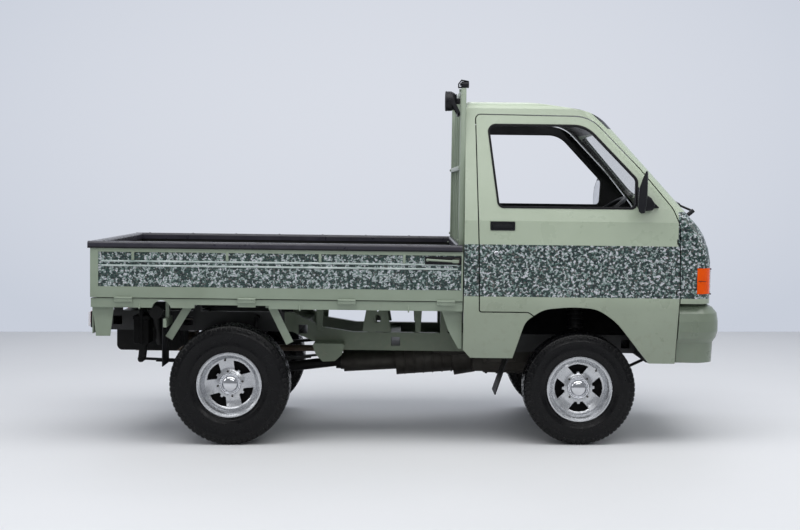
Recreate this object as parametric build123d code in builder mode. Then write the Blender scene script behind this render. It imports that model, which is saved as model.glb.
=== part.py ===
"""A kei truck: cab over the front axle, drop-side bed, leaf-sprung rear axle.

The truck is drawn level in a body frame: +X forward, +Y to its left, +Z up, millimetres, with z = 0 near the
ground. Its front tyres are smaller than its rear ones, so every finished piece is turned nose down by the
same small rake and set on the ground.
"""

import os
from math import asin, atan2, cos, degrees, radians, sin, tan

from build123d import *

# Overall sizes and the four wheels
HALF_WIDTH = 697.5
WHEELBASE = 1810.0
REAR_HUB_X = -916.5
REAR_TYRE_R = 312.0
FRONT_TYRE_R = 290.0
TYRE_WIDTH = 196.0
TYRE_CENTRE_Y = 590.0
RIM_BEAD_R = 153.0
RIM_FLANGE_R = 169.0
RIM_WIDTH = 170.0
FRONT_HUB_X = REAR_HUB_X + WHEELBASE
RAKE = asin((REAR_TYRE_R - FRONT_TYRE_R) / WHEELBASE)
HUB_Z = (REAR_TYRE_R + REAR_HUB_X * sin(RAKE)) / cos(RAKE)
stance = Location((0, 0, 0), (0, degrees(RAKE), 0))

# Running clearances
JOINT_GAP = 6.0
SEAT_GAP = 0.3

# Cab: side profile at the middle, and the cross section of its sides
CAB_REAR_X = 288.0
CAB_BOTTOM_Z = 440.0
CAB_TOP_Z = 1801.0
CAB_NOSE_X = 1592.0
CAB_CHIN_X = 1545.0
CHIN_Z = 775.0
HEADER_X = 967.0
HEADER_Z = 1761.0
SCREEN_ANGLE = 47.7
CROWN_R = 6000.0
SKIRT_HALF = 684.0
WAIST_Z = 760.0
BELT_Z = 1215.0
ROOF_HALF = 618.0
ROOF_EDGE_R = 72.0
SIDE_LEAN = (HALF_WIDTH - ROOF_HALF) / (CAB_TOP_Z - ROOF_HALF**2 / (2 * CROWN_R) - BELT_Z)
ROOF_PROUD = 3.0
SIDE_BLEND_R = 240.0
CORNER_R = 95.0
CORNER_PROUD = 0.8
SCREEN_BOW_R = 6600.0
NOSE_R = 380.0
NOSE_TURN_Z = 931.0
NOSE_STEPS = 4
CAB_WALL = 30.0
PLATFORM_Z = 760.0
PLATFORM_THICK = 25.0
FOOT_FLOOR_Z = 480.0
FOOTWELL_X = 1262.0
QUARTER_REAR_Z = 459.0
INNER_HALF = 645.0
WHEELHOUSE_Y = 330.0
ENGINE_BAY_HALF = 620.0
REAR_WINDOW_HALF = 470.0
REAR_WINDOW_Z = (1275.0, 1640.0)
REAR_WINDOW_R = 50.0

# Lamps and grille let into the nose
LAMP_DEPTH = 15.0
TURN_LAMP_X = 1482.0
TURN_LAMP_Y = 606.0
TURN_LAMP_Z = (801.0, 935.0)
HEADLAMP_Y = (395.0, 588.0)
HEADLAMP_Z = (797.0, 925.0)
HEADLAMP_DEPTH = 24.0
GRILLE_HALF = 372.0
GRILLE_Z = (812.0, 906.0)
GRILLE_DEPTH = 12.0
GRILLE_SLOTS = 4

# Doors: shut line, window and hinge
DOOR_REAR_X = 370.0
DOOR_FRONT_X = 1391.0
DOOR_HINGE_X = 1387.0
DOOR_HINGE_Y = 695.0
DOOR_OPEN = 65.0
DOOR_PIN_R = 2.0
DOOR_PIN_Z = (808.0, 1068.0)
DOOR_REACH = 120.0
DOOR_CASING_DEPTH = 58.0
HANDLE_X = (418.0, 546.0)
HANDLE_Z = (1116.0, 1163.0)
HANDLE_DEPTH = 8.0
MIRROR_Y = (722.0, 862.0)
MIRROR_SEAT = 22.0

# Bumper
BUMPER_REAR_X = 1370.0
BUMPER_NOSE_X = 1640.0
BUMPER_CORNER_X = 1612.0
BUMPER_CORNER_R = 120.0
BUMPER_BOW_R = 6000.0
BUMPER_CHEEK_Y = 612.0
BUMPER_SHELF_Z = 751.0

# Bed
BED_REAR_X = -1629.0
BED_FRONT_X = 282.0
BED_FLOOR_Z = 762.0
BED_HALF = 664.0
SILL_HALF = 690.0
GATE_THICK = 25.0
GATE_BOTTOM_Z = 750.0
GATE_TOP_Z = 1002.0
CAP_TOP_Z = 1038.0
CAP_REAR_X = -1642.0
CAP_FRONT_X = 277.0
CAP_OVERHANG = 6.0
SILL_TOP_Z = 745.0
SILL_BOTTOM_Z = 698.0
GATE_HINGE_Y = 701.0
GATE_HINGE_Z = 745.0
TAILGATE_HINGE_X = BED_REAR_X - 4.0
GATE_OPEN = 165.0

# Chassis
RAIL_Y = 295.0
RAIL_WIDTH = 50.0
RAIL_WALL = 5.0
RAIL_FRONT_X = 1236.0
RAIL_REAR_X = -1600.0
KICK_TOP_Z = 650.0
RAIL_TOP_Z = 548.0
SPRING_Y = 432.0
SPRING_WIDTH = 56.0
SPRING_LEAF = 7.0
SPRING_EYE_R = 17.0
SPRING_FRONT = (-428.0, 440.0)
SPRING_REAR = (-1410.0, 405.0)
SPRING_MID_Z = 404.0
AXLE_R = 36.0
DRUM_R = 100.0
STUB_R = 30.0
STUB_TIP_Y = 611.7
TANK_TOP_Z = 569.7

# Steering: the kingpin line runs from the lower ball joint to the strut's top
BALL_Y = 530.0
BALL_Z = 200.0
STRUT_TOP_Y = 400.0
STRUT_TOP_Z = 733.0
STEER_RANGE = 32.0
WHEEL_CENTRE = (1000.0, -330.0, 1175.0)
WHEEL_TILT = 35.0
STEERING_WHEEL_R = 190.0
STEERING_RATIO = 16.0

os.makedirs("parts", exist_ok=True)
finished = []


def finish(piece, label):
    """Set a piece down in the truck's stance, name it and keep it for writing."""
    piece.part = piece.part.moved(stance)
    piece.part.label = label
    finished.append(piece)


def block(low, high, mode=Mode.ADD):
    """A box between two corners, in the open part."""
    with Locations(tuple((a + b) / 2 for a, b in zip(low, high))):
        Box(*[b - a for a, b in zip(low, high)], mode=mode)


def side_prism(points, y_high, y_low, radius=None, mode=Mode.ADD, grow=0.0):
    """An outline seen from the side, filled from y_high down to y_low."""
    with BuildSketch(Plane.XZ.offset(-y_high), mode=Mode.PRIVATE) as outline:
        with BuildLine():
            if radius:
                FilletPolyline(*points, close=True, radius=radius)
            else:
                Polyline(*points, close=True)
        make_face()
        if grow:
            offset(amount=grow)
    extrude(outline.sketch, amount=y_high - y_low, mode=mode)


def cross_prism(points, x_low, x_high, mode=Mode.ADD):
    """An outline seen from the front, filled from x_low to x_high."""
    with BuildSketch(Plane.YZ.offset(x_low), mode=Mode.PRIVATE) as outline:
        with BuildLine():
            Polyline(*points, close=True)
        make_face()
    extrude(outline.sketch, amount=x_high - x_low, mode=mode)


def rod(start, end, radius, mode=Mode.ADD):
    """A round bar from one point to another."""
    a, b = Vector(*start), Vector(*end)
    with BuildSketch(Plane(origin=a, z_dir=b - a), mode=Mode.PRIVATE) as section:
        Circle(radius)
    extrude(section.sketch, amount=(b - a).length, mode=mode)


def both_sides():
    """Repeat what the open part holds on the truck's other side."""
    mirror(about=Plane.XZ)


def mirrored_spans(low, high):
    """The y range of a piece on the right side and on the left side."""
    return ((-high, -low), (low, high))


# Cab forms: the outside of the cab, or the same form drawn in by an inset

def nose_stack(inset):
    """Plan outlines with rounded front corners, stacked along the slope of nose and windscreen."""
    turn = radians(90 - SCREEN_ANGLE)
    step = turn / NOSE_STEPS
    radius = NOSE_R - inset
    centre_x = CAB_NOSE_X + CORNER_PROUD - inset - radius
    centre_z = NOSE_TURN_Z
    stations = [(centre_x + radius, CAB_BOTTOM_Z - 80)]
    for k in range(NOSE_STEPS):
        angle = (k + 0.5) * step
        reach = radius / cos(step / 2)
        stations.append((centre_x + reach * cos(angle), centre_z + reach * sin(angle)))
    last_x, last_z = stations[-1]
    rise = CAB_TOP_Z + 60 - last_z
    stations.append((last_x - rise / tan(radians(SCREEN_ANGLE)), last_z + rise))
    half = HALF_WIDTH + CORNER_PROUD - inset
    bow = half**2 / (2 * SCREEN_BOW_R)
    with BuildPart() as stack:
        for (x0, z0), (x1, z1) in zip(stations, stations[1:]):
            lean = SIDE_LEAN if z0 == last_z else 0
            for side in (-1, 1):
                with BuildSketch(Plane.XY.offset(z0)) as plan:
                    with BuildLine():
                        ThreePointArc((x0, 0), (x0 - bow / 4, side * half / 2), (x0 - bow, side * half))
                        Polyline((x0 - bow, side * half), (-900, side * half), (-900, 0), (x0, 0))
                    make_face()
                    corner = plan.vertices().group_by(Axis.X)[-2]
                    fillet(corner, CORNER_R - inset)
                slant = Vector(x1 - x0, -side * lean * (z1 - z0), z1 - z0)
                extrude(plan.sketch, amount=slant.length, dir=slant)
    return stack.part


def cab_form(inset, rear_inset=None):
    """The cab as a solid: side profile with a crown, cut by its cross section and its rounded nose."""
    slope = tan(radians(SCREEN_ANGLE))
    rear = CAB_REAR_X + (inset if rear_inset is None else rear_inset)
    top = CAB_TOP_Z - inset
    nose = CAB_NOSE_X - inset
    chin = CAB_CHIN_X - inset
    # the windscreen line keeps its slope and moves in by the inset, measured square to it
    screen_shift = inset / sin(radians(SCREEN_ANGLE))
    header_z = HEADER_Z - inset
    header_x = HEADER_X - screen_shift + inset / slope
    nose_z = header_z - (nose - header_x) * slope
    with BuildPart() as form:
        with BuildSketch(Plane.XZ):
            with BuildLine():
                FilletPolyline(
                    (rear, CAB_BOTTOM_Z - 80),
                    (rear, top + ROOF_PROUD),
                    (640, top + ROOF_PROUD),
                    (header_x, header_z),
                    (nose, nose_z),
                    (nose, CHIN_Z),
                    (chin, CHIN_Z - 20),
                    (chin, CAB_BOTTOM_Z - 80),
                    close=True,
                    radius=[5, 45, 1400, 300, NOSE_R - inset, 8, 8, 5],
                )
            make_face()
        axis = Axis((0, 0, CAB_TOP_Z - CROWN_R), (1, 0, 0))
        revolve(axis=axis, revolution_arc=18)
        add(form.part.rotate(axis, -9), mode=Mode.REPLACE)
    half = HALF_WIDTH - inset
    skirt = SKIRT_HALF - inset
    roof = ROOF_HALF - inset
    roof_edge = top - roof**2 / (2 * CROWN_R)
    with BuildPart() as sides:
        with BuildSketch(Plane.YZ.offset(CAB_REAR_X - 50)) as section:
            with BuildLine():
                Polyline(
                    (-roof, roof_edge),
                    (-half, BELT_Z),
                    (-half, WAIST_Z),
                    (-skirt, CAB_BOTTOM_Z + inset),
                    (skirt, CAB_BOTTOM_Z + inset),
                    (half, WAIST_Z),
                    (half, BELT_Z),
                    (roof, roof_edge),
                )
                ThreePointArc((-roof, roof_edge), (0, top), (roof, roof_edge))
            make_face()
            levels = section.vertices().group_by(Axis.Y)
            fillet(levels[1] + levels[2], SIDE_BLEND_R)
            fillet(section.vertices().group_by(Axis.Y)[-1], ROOF_EDGE_R - inset)
        extrude(amount=1500)
        add(form.part, mode=Mode.INTERSECT)
        add(nose_stack(inset), mode=Mode.INTERSECT)
    return sides.part


outer_form = cab_form(0)
inner_form = cab_form(CAB_WALL)
lamp_bed = cab_form(LAMP_DEPTH)

# Outlines seen from the side: (x, z) corners and the radius at each
ARCH = [(533, 430), (606, 650), (697, 713), (842, 728), (975, 719), (1075, 652), (1253, 430)]
ARCH_RADII = [2, 100, 160, 600, 180, 300, 2]
DOOR = [
    (DOOR_REAR_X + 2, 700), (DOOR_REAR_X - 4, 1030), (341, 1709), (925, 1703), (1184, 1438), (1352, 1236),
    (1388, 1150), (DOOR_FRONT_X + 4, 778), (1378, CAB_BOTTOM_Z - 10), (1245, 430), (680, 600), (660, 674),
    (622, 700),
]
DOOR_RADII = [8, 1500, 22, 180, 800, 150, 120, 900, 4, 2, 4, 8, 30]
WINDOW = [(462, 1238), (404, 1657), (905, 1657), (1168, 1384), (1163, 1238)]
WINDOW_RADII = [28, 34, 150, 40, 26]


def door_opening(mode, grow):
    """The door's outline through both sides of the cab, clear of the middle."""
    for y_high in (HALF_WIDTH + 30, -HALF_WIDTH + DOOR_REACH):
        side_prism(DOOR, y_high, y_high - DOOR_REACH - 30, DOOR_RADII, mode, grow)


# Windscreen plane: its origin on the middle line, local y running up the slope
screen_normal = Vector(sin(radians(SCREEN_ANGLE)), 0, cos(radians(SCREEN_ANGLE)))
SCREEN_MID_X = 1215.0
SCREEN_MID_Z = HEADER_Z - (SCREEN_MID_X - HEADER_X) * tan(radians(SCREEN_ANGLE))
screen_plane = Plane(
    origin=(SCREEN_MID_X, 0, SCREEN_MID_Z), x_dir=(0, 1, 0), z_dir=screen_normal
)
SCREEN_OUTLINE = [(-600, -232), (-545, 228), (545, 228), (600, -232)]
SCREEN_CORNER_R = 60.0
GLASS_THICK = 5.0
GLASS_DEPTH = 8.0


def screen_prism(grow, mode):
    """The windscreen's outline, square through the wall."""
    with BuildSketch(screen_plane.offset(-120), mode=Mode.PRIVATE) as outline:
        with BuildLine():
            FilletPolyline(*SCREEN_OUTLINE, close=True, radius=SCREEN_CORNER_R)
        make_face()
        if grow:
            offset(amount=grow)
    extrude(outline.sketch, amount=240, mode=mode)


def glass_skin():
    """The curved sheet that the windscreen is cut from, just under the cab's outside."""
    near, far = SCREEN_MID_X - 330, SCREEN_MID_X + 330
    slope = tan(radians(SCREEN_ANGLE))
    drop = GLASS_DEPTH / cos(radians(SCREEN_ANGLE))
    thick = GLASS_THICK / cos(radians(SCREEN_ANGLE))
    top_near = SCREEN_MID_Z + 330 * slope - drop
    top_far = SCREEN_MID_Z - 330 * slope - drop
    axis = Axis((0, 0, CAB_TOP_Z - CROWN_R), (1, 0, 0))
    with BuildPart() as sheet:
        with BuildSketch(Plane.XZ):
            with BuildLine():
                Polyline((near, top_near), (far, top_far), (far, top_far - thick), (near, top_near - thick),
                         close=True)
            make_face()
        revolve(axis=axis, revolution_arc=14)
        add(sheet.part.rotate(axis, -7), mode=Mode.REPLACE)
    return sheet.part


# Turn lamps wrap round the nose's corners, and their zone cuts the pockets in the shell
with BuildPart() as turn_lamp_zone:
    block((TURN_LAMP_X, TURN_LAMP_Y, TURN_LAMP_Z[0]), (1700, 760, TURN_LAMP_Z[1]))
    both_sides()
    add(outer_form, mode=Mode.INTERSECT)
    add(lamp_bed, mode=Mode.SUBTRACT)

with BuildPart() as turn_lamps:
    block((TURN_LAMP_X + 1, TURN_LAMP_Y + 1, TURN_LAMP_Z[0] + 1), (1700, 760, TURN_LAMP_Z[1] - 1))
    add(outer_form, mode=Mode.INTERSECT)
    add(lamp_bed, mode=Mode.SUBTRACT)
    add(turn_lamps.part.moved(Location((SEAT_GAP, SEAT_GAP, 0))), mode=Mode.REPLACE)
    both_sides()
finish(turn_lamps, "turn_lamps")

# Cab shell: the skin, its openings and the floor pressings
with BuildPart() as chin_shelf:
    block((1470, -INNER_HALF, BUMPER_SHELF_Z), (1610, INNER_HALF, BUMPER_SHELF_Z + 30))
    add(outer_form, mode=Mode.INTERSECT)

with BuildPart() as cab_shell:
    add(outer_form)
    add(inner_form, mode=Mode.SUBTRACT)
    door_opening(Mode.SUBTRACT, JOINT_GAP)
    side_prism(ARCH, HALF_WIDTH + 30, -HALF_WIDTH - 30, ARCH_RADII, Mode.SUBTRACT)
    screen_prism(0, Mode.SUBTRACT)
    with BuildSketch(Plane.YZ.offset(CAB_REAR_X - 20)):
        with Locations((0, (REAR_WINDOW_Z[0] + REAR_WINDOW_Z[1]) / 2)):
            RectangleRounded(2 * REAR_WINDOW_HALF, REAR_WINDOW_Z[1] - REAR_WINDOW_Z[0], REAR_WINDOW_R)
    extrude(amount=80, mode=Mode.SUBTRACT)
    # open underside and rear wall round the engine, and the quarter's raised rear corner
    block((CAB_REAR_X - 10, -650, CAB_BOTTOM_Z - 5), (FOOTWELL_X - 25, 650, CAB_BOTTOM_Z + CAB_WALL + 5),
          Mode.SUBTRACT)
    block((CAB_REAR_X - 10, -ENGINE_BAY_HALF, CAB_BOTTOM_Z - 5), (340, ENGINE_BAY_HALF, 735), Mode.SUBTRACT)
    block((CAB_REAR_X - 10, -750, CAB_BOTTOM_Z - 5), (600, 750, QUARTER_REAR_Z), Mode.SUBTRACT)
    side_prism([(CAB_REAR_X - 5, 505), (327, QUARTER_REAR_Z - 2), (CAB_REAR_X - 5, QUARTER_REAR_Z - 2)],
               750, -750, None, Mode.SUBTRACT)
    # room for the bumper's sides
    for low, high in mirrored_spans(BUMPER_CHEEK_Y, 760):
        block((DOOR_FRONT_X - 60, low, CAB_BOTTOM_Z - 20), (1700, high, BUMPER_SHELF_Z), Mode.SUBTRACT)
    block((CAB_CHIN_X + 2, -760, CAB_BOTTOM_Z - 90), (1700, 760, BUMPER_SHELF_Z), Mode.SUBTRACT)
    add(chin_shelf.part)
    # floor pressings: seat platform, foot well and its walls
    block((CAB_REAR_X + 10, -INNER_HALF, PLATFORM_Z - PLATFORM_THICK), (FOOTWELL_X, INNER_HALF, PLATFORM_Z))
    block((FOOTWELL_X - 25, -INNER_HALF, CAB_BOTTOM_Z + 10), (FOOTWELL_X, INNER_HALF, PLATFORM_Z))
    block((FOOTWELL_X - 25, -BUMPER_CHEEK_Y, CAB_BOTTOM_Z), (CAB_CHIN_X - 5, BUMPER_CHEEK_Y, FOOT_FLOOR_Z))
    block((FOOTWELL_X - 25, -INNER_HALF, CAB_BOTTOM_Z), (DOOR_FRONT_X - 55, INNER_HALF, FOOT_FLOOR_Z))
    for low, high in mirrored_spans(BUMPER_CHEEK_Y - 26, BUMPER_CHEEK_Y):
        block((DOOR_FRONT_X + 10, low, CAB_BOTTOM_Z), (CAB_CHIN_X - 5, high, CHIN_Z + 10))
    for low, high in mirrored_spans(BUMPER_CHEEK_Y - 26, HALF_WIDTH - 12):
        block((DOOR_FRONT_X + 14, low, BUMPER_SHELF_Z), (CAB_CHIN_X - 60, high, CHIN_Z + 10))
    # rear wall of the wheel house, the step under the door and the sill behind it
    for side in (-1, 1):
        for reach, z_low, z_high in ((HALF_WIDTH - CAB_WALL - 2, QUARTER_REAR_Z, 690), (INNER_HALF, 690, 740)):
            low, high = sorted((side * WHEELHOUSE_Y, side * reach))
            block((500, low, z_low), (520, high, z_high))
    for low, high in mirrored_spans(INNER_HALF - 20, HALF_WIDTH - 8):
        block((CAB_REAR_X + 15, low, 668), (600, high, 690))
    for low, high in mirrored_spans(INNER_HALF - 20, INNER_HALF):
        block((CAB_REAR_X + 10, low, 668), (640, high, PLATFORM_Z))
    # lugs and pins of the door hinges
    for side in (-1, 1):
        for z in DOOR_PIN_Z:
            low, high = sorted((side * (DOOR_HINGE_Y - 4), side * (HALF_WIDTH - 0.3)))
            block((DOOR_HINGE_X - 3, low, z - 8), (DOOR_FRONT_X + 14, high, z + 8))
            rod((DOOR_HINGE_X, side * (DOOR_HINGE_Y - 1), z - 18), (DOOR_HINGE_X, side * (DOOR_HINGE_Y - 1), z + 18),
                DOOR_PIN_R)
    # corners cut back behind the bumper's bends
    for side in (-1, 1):
        with BuildSketch(Plane.XY.offset(CAB_BOTTOM_Z - 60)):
            with BuildLine():
                Polyline(
                    (CAB_CHIN_X - 45, side * (BUMPER_CHEEK_Y + 6)), (CAB_CHIN_X + 20, side * (BUMPER_CHEEK_Y + 6)),
                    (CAB_CHIN_X + 20, side * (BUMPER_CHEEK_Y - 59)), close=True,
                )
            make_face()
        extrude(amount=BUMPER_SHELF_Z - CAB_BOTTOM_Z + 60, mode=Mode.SUBTRACT)
    # pockets for lamps and grille
    for low, high in mirrored_spans(*HEADLAMP_Y):
        block((CAB_NOSE_X - HEADLAMP_DEPTH, low, HEADLAMP_Z[0]), (CAB_NOSE_X + 20, high, HEADLAMP_Z[1]),
              Mode.SUBTRACT)
    block((CAB_NOSE_X - GRILLE_DEPTH, -GRILLE_HALF, GRILLE_Z[0]), (CAB_NOSE_X + 20, GRILLE_HALF, GRILLE_Z[1]),
          Mode.SUBTRACT)
    add(turn_lamp_zone.part, mode=Mode.SUBTRACT)
finish(cab_shell, "cab_shell")

with BuildPart() as headlamps:
    for low, high in mirrored_spans(*HEADLAMP_Y):
        block((CAB_NOSE_X - HEADLAMP_DEPTH + SEAT_GAP, low + 1, HEADLAMP_Z[0] + 1),
              (CAB_NOSE_X + 2, high - 1, HEADLAMP_Z[1] - 1))
    fillet(headlamps.edges().filter_by(Axis.X), 10)
finish(headlamps, "headlamps")

with BuildPart() as grille:
    block((CAB_NOSE_X - GRILLE_DEPTH + SEAT_GAP, -GRILLE_HALF + 1, GRILLE_Z[0] + 1),
          (CAB_NOSE_X + 3, GRILLE_HALF - 1, GRILLE_Z[1] - 1))
    pitch = (GRILLE_Z[1] - GRILLE_Z[0] - 14) / GRILLE_SLOTS
    for k in range(GRILLE_SLOTS):
        z_low = GRILLE_Z[0] + 7 + (k + 0.2) * pitch
        block((CAB_NOSE_X - GRILLE_DEPTH + 4, -GRILLE_HALF + 14, z_low),
              (CAB_NOSE_X + 8, GRILLE_HALF - 14, z_low + 0.6 * pitch), Mode.SUBTRACT)
finish(grille, "grille")

with BuildPart() as windscreen:
    screen_prism(-0.4, Mode.ADD)
    add(glass_skin(), mode=Mode.INTERSECT)
finish(windscreen, "windscreen")

with BuildPart() as rear_window:
    with BuildSketch(Plane.YZ.offset(CAB_REAR_X + 10)):
        with Locations((0, (REAR_WINDOW_Z[0] + REAR_WINDOW_Z[1]) / 2)):
            RectangleRounded(2 * REAR_WINDOW_HALF - 0.8, REAR_WINDOW_Z[1] - REAR_WINDOW_Z[0] - 0.8,
                             REAR_WINDOW_R - 0.4)
    extrude(amount=GLASS_THICK)
finish(rear_window, "rear_window")

# Bumper: its section swept round the nose
BUMPER_SECTION = [
    (60, 745), (32, 731), (7, 701), (0, 660), (0, 605), (10, 572), (26, 548), (30, 446), (60, 440), (60, 470),
    (58, 552), (42, 590), (42, 690), (60, 715),
]
with BuildPart() as bumper_front:
    with BuildLine():
        FilletPolyline(
            (BUMPER_REAR_X, -HALF_WIDTH), (BUMPER_CORNER_X, -HALF_WIDTH), (BUMPER_NOSE_X, 0),
            (BUMPER_CORNER_X, HALF_WIDTH), (BUMPER_REAR_X, HALF_WIDTH),
            radius=[BUMPER_CORNER_R, BUMPER_BOW_R, BUMPER_CORNER_R],
        )
    with BuildSketch(Plane(origin=(BUMPER_REAR_X, -HALF_WIDTH, 0), x_dir=(0, 1, 0), z_dir=(1, 0, 0))):
        with BuildLine():
            Polyline(*BUMPER_SECTION, close=True)
        make_face()
    sweep()
    side_prism(DOOR, HALF_WIDTH + 20, -HALF_WIDTH - 20, DOOR_RADII, Mode.SUBTRACT, JOINT_GAP)
    for low, high in mirrored_spans(250, 330):
        block((CAB_CHIN_X + SEAT_GAP, low, 610), (BUMPER_NOSE_X - 40, high, 670))
finish(bumper_front, "bumper_front")

# Doors: the same skin inside the shut line, less the arch and the window
DOOR_CASING = [(420, 785), (420, 1195), (1230, 1195), (1230, 785)]
MIRROR_HEAD = [(1160, 1222), (1182, 1425), (1206, 1400), (1252, 1275), (1246, 1236)]
MIRROR_BASE = [(1168, 1240), (1168, 1352), (1282, 1240)]
with BuildPart() as door_right:
    side_prism(DOOR, -HALF_WIDTH + DOOR_REACH, -HALF_WIDTH - 10, DOOR_RADII)
    add(outer_form, mode=Mode.INTERSECT)
    add(inner_form, mode=Mode.SUBTRACT)
    side_prism(DOOR_CASING, -HALF_WIDTH + DOOR_CASING_DEPTH, -HALF_WIDTH + CAB_WALL - 5, 40)
    side_prism(ARCH, HALF_WIDTH + 30, -HALF_WIDTH - 30, ARCH_RADII, Mode.SUBTRACT)
    side_prism(WINDOW, -HALF_WIDTH + DOOR_REACH + 20, -HALF_WIDTH - 30, WINDOW_RADII, Mode.SUBTRACT)
    block((600, -INNER_HALF - 8, CAB_BOTTOM_Z - 20), (1420, -HALF_WIDTH + DOOR_REACH + 20, 700), Mode.SUBTRACT)
    block((HANDLE_X[0], -HALF_WIDTH - 10, HANDLE_Z[0]), (HANDLE_X[1], -HALF_WIDTH + HANDLE_DEPTH, HANDLE_Z[1]),
          Mode.SUBTRACT)
    for z in DOOR_PIN_Z:
        block((DOOR_HINGE_X - 11, -HALF_WIDTH - 10, z - 14), (DOOR_FRONT_X + 20, -HALF_WIDTH + 60, z + 14),
              Mode.SUBTRACT)
        rod((DOOR_HINGE_X, -DOOR_HINGE_Y + 1, z - 22), (DOOR_HINGE_X, -DOOR_HINGE_Y + 1, z + 22),
            DOOR_PIN_R + SEAT_GAP, Mode.SUBTRACT)

with BuildPart() as handle_right:
    block((HANDLE_X[0] + 1, -HALF_WIDTH - 3, HANDLE_Z[0] + 1),
          (HANDLE_X[1] - 1, -HALF_WIDTH + HANDLE_DEPTH - SEAT_GAP, HANDLE_Z[1] - 1))
    fillet(handle_right.edges().filter_by(Axis.Y), 8)
    block((HANDLE_X[0] + 8, -HALF_WIDTH - 10, HANDLE_Z[0] + 10),
          (HANDLE_X[1] - 8, -HALF_WIDTH + 2, HANDLE_Z[1] - 8), Mode.SUBTRACT)

with BuildPart() as mirror_right:
    side_prism(MIRROR_HEAD, -MIRROR_Y[0], -MIRROR_Y[1], [10, 10, 12, 14, 10])
    side_prism(MIRROR_BASE, -HALF_WIDTH - 2, -HALF_WIDTH - 10, 8)
    block((1190, -MIRROR_Y[0] - 5, 1244), (1240, -HALF_WIDTH - 8, 1272))
    side_prism(MIRROR_BASE, -HALF_WIDTH + 30, -HALF_WIDTH - 5, 8)
    add(outer_form, mode=Mode.SUBTRACT)

with BuildPart() as door_left:
    mirror(door_right.part, about=Plane.XZ)
with BuildPart() as handle_left:
    mirror(handle_right.part, about=Plane.XZ)
with BuildPart() as mirror_left:
    mirror(mirror_right.part, about=Plane.XZ)
for piece, label in (
    (door_right, "door_right"), (door_left, "door_left"), (handle_right, "handle_right"),
    (handle_left, "handle_left"), (mirror_right, "mirror_right"), (mirror_left, "mirror_left"),
):
    finish(piece, label)

# Inside the cab
with BuildPart() as dashboard:
    side_prism([(1290, 985), (1290, 1150), (1330, 1200), (1380, 1195), (1488, 1085), (1488, 985)],
               630, -630, 12)
    block((1402, -HALF_WIDTH + CAB_WALL + SEAT_GAP, 1000), (1445, HALF_WIDTH - CAB_WALL - SEAT_GAP, 1060))
finish(dashboard, "dashboard")

column_dir = Vector(sin(radians(WHEEL_TILT)), 0, -cos(radians(WHEEL_TILT)))
wheel_centre = Vector(*WHEEL_CENTRE)
column_foot = (WHEEL_CENTRE[2] - FOOT_FLOOR_Z) / cos(radians(WHEEL_TILT))
with BuildPart() as steering_column:
    rod(wheel_centre + column_dir * 40.3, wheel_centre + column_dir * (column_foot - 24), 16)
    rod(wheel_centre + column_dir * 60, wheel_centre + column_dir * 300, 34)
    foot = wheel_centre + column_dir * column_foot
    block((foot.X - 40, foot.Y - 40, FOOT_FLOOR_Z + SEAT_GAP), (foot.X + 25, foot.Y + 40, FOOT_FLOOR_Z + 22))
finish(steering_column, "steering_column")

with BuildPart() as steering_wheel:
    wheel_plane = Plane(origin=wheel_centre, x_dir=(0, 1, 0), z_dir=column_dir)
    with BuildSketch(Plane(origin=wheel_centre, x_dir=(0, 1, 0), z_dir=wheel_plane.y_dir)):
        with Locations((STEERING_WHEEL_R, 0)):
            Circle(13)
    revolve(axis=Axis(wheel_centre, column_dir))
    with BuildSketch(wheel_plane):
        Circle(48)
    extrude(amount=40)
    with BuildSketch(wheel_plane.offset(8)):
        with PolarLocations(STEERING_WHEEL_R / 2, 3, start_angle=90):
            Rectangle(STEERING_WHEEL_R - 6, 34)
    extrude(amount=12)
finish(steering_wheel, "steering_wheel")

SEATS_Y = (70.0, 585.0)
with BuildPart() as seat_cushions:
    for low, high in mirrored_spans(*SEATS_Y):
        block((440, low, PLATFORM_Z + SEAT_GAP), (1030, high, 878))
    fillet(seat_cushions.edges().filter_by(lambda e: e.center().Z > PLATFORM_Z + 5), 28)
finish(seat_cushions, "seat_cushions")

with BuildPart() as seat_backs:
    for low, high in mirrored_spans(*SEATS_Y):
        side_prism([(462, 878 + SEAT_GAP), (590, 878 + SEAT_GAP), (510, 1222), (405, 1222)], high, low, 26)
finish(seat_backs, "seat_backs")

with BuildPart() as gear_lever:
    block((1130, -70, PLATFORM_Z + SEAT_GAP), (1230, 10, PLATFORM_Z + 26))
    rod((1180, -30, PLATFORM_Z + 10), (1120, -30, 985), 8)
    with Locations((1117, -30, 1000)):
        Sphere(22)
finish(gear_lever, "gear_lever")

# Wipers: the arm stands off the cowl and lies back on the glass
with BuildPart() as wipers:
    for pivot_y, tip_y in ((-420, -150), (130, 400)):
        drop = pivot_y**2 / (2 * (CROWN_R - 593))
        foot_z = HEADER_Z - (1470 - HEADER_X) * tan(radians(SCREEN_ANGLE)) - drop
        rod((1470, pivot_y, foot_z + 1), (1512, pivot_y, foot_z + 36), 11)
        rod((1508, pivot_y, foot_z + 32), (1424, (pivot_y + tip_y) / 2, foot_z + 76), 6)
    crown_axis = Axis((0, 0, CAB_TOP_Z - CROWN_R), (1, 0, 0))
    blade_z = HEADER_Z - (1424 - HEADER_X) * tan(radians(SCREEN_ANGLE)) + 20
    for y_low, y_high in ((-520, -60), (70, 530)):
        swing = y_high / CROWN_R
        across = Plane(origin=(0, 0, CAB_TOP_Z - CROWN_R), x_dir=(1, 0, 0), z_dir=(0, -cos(swing), sin(swing)))
        with BuildSketch(across, mode=Mode.PRIVATE) as section:
            with Locations((1424, blade_z - CAB_TOP_Z + CROWN_R)):
                Rectangle(12, 12, rotation=-SCREEN_ANGLE)
        revolve(section.sketch, axis=crown_axis, revolution_arc=degrees((y_high - y_low) / CROWN_R))
finish(wipers, "wipers")

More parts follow.
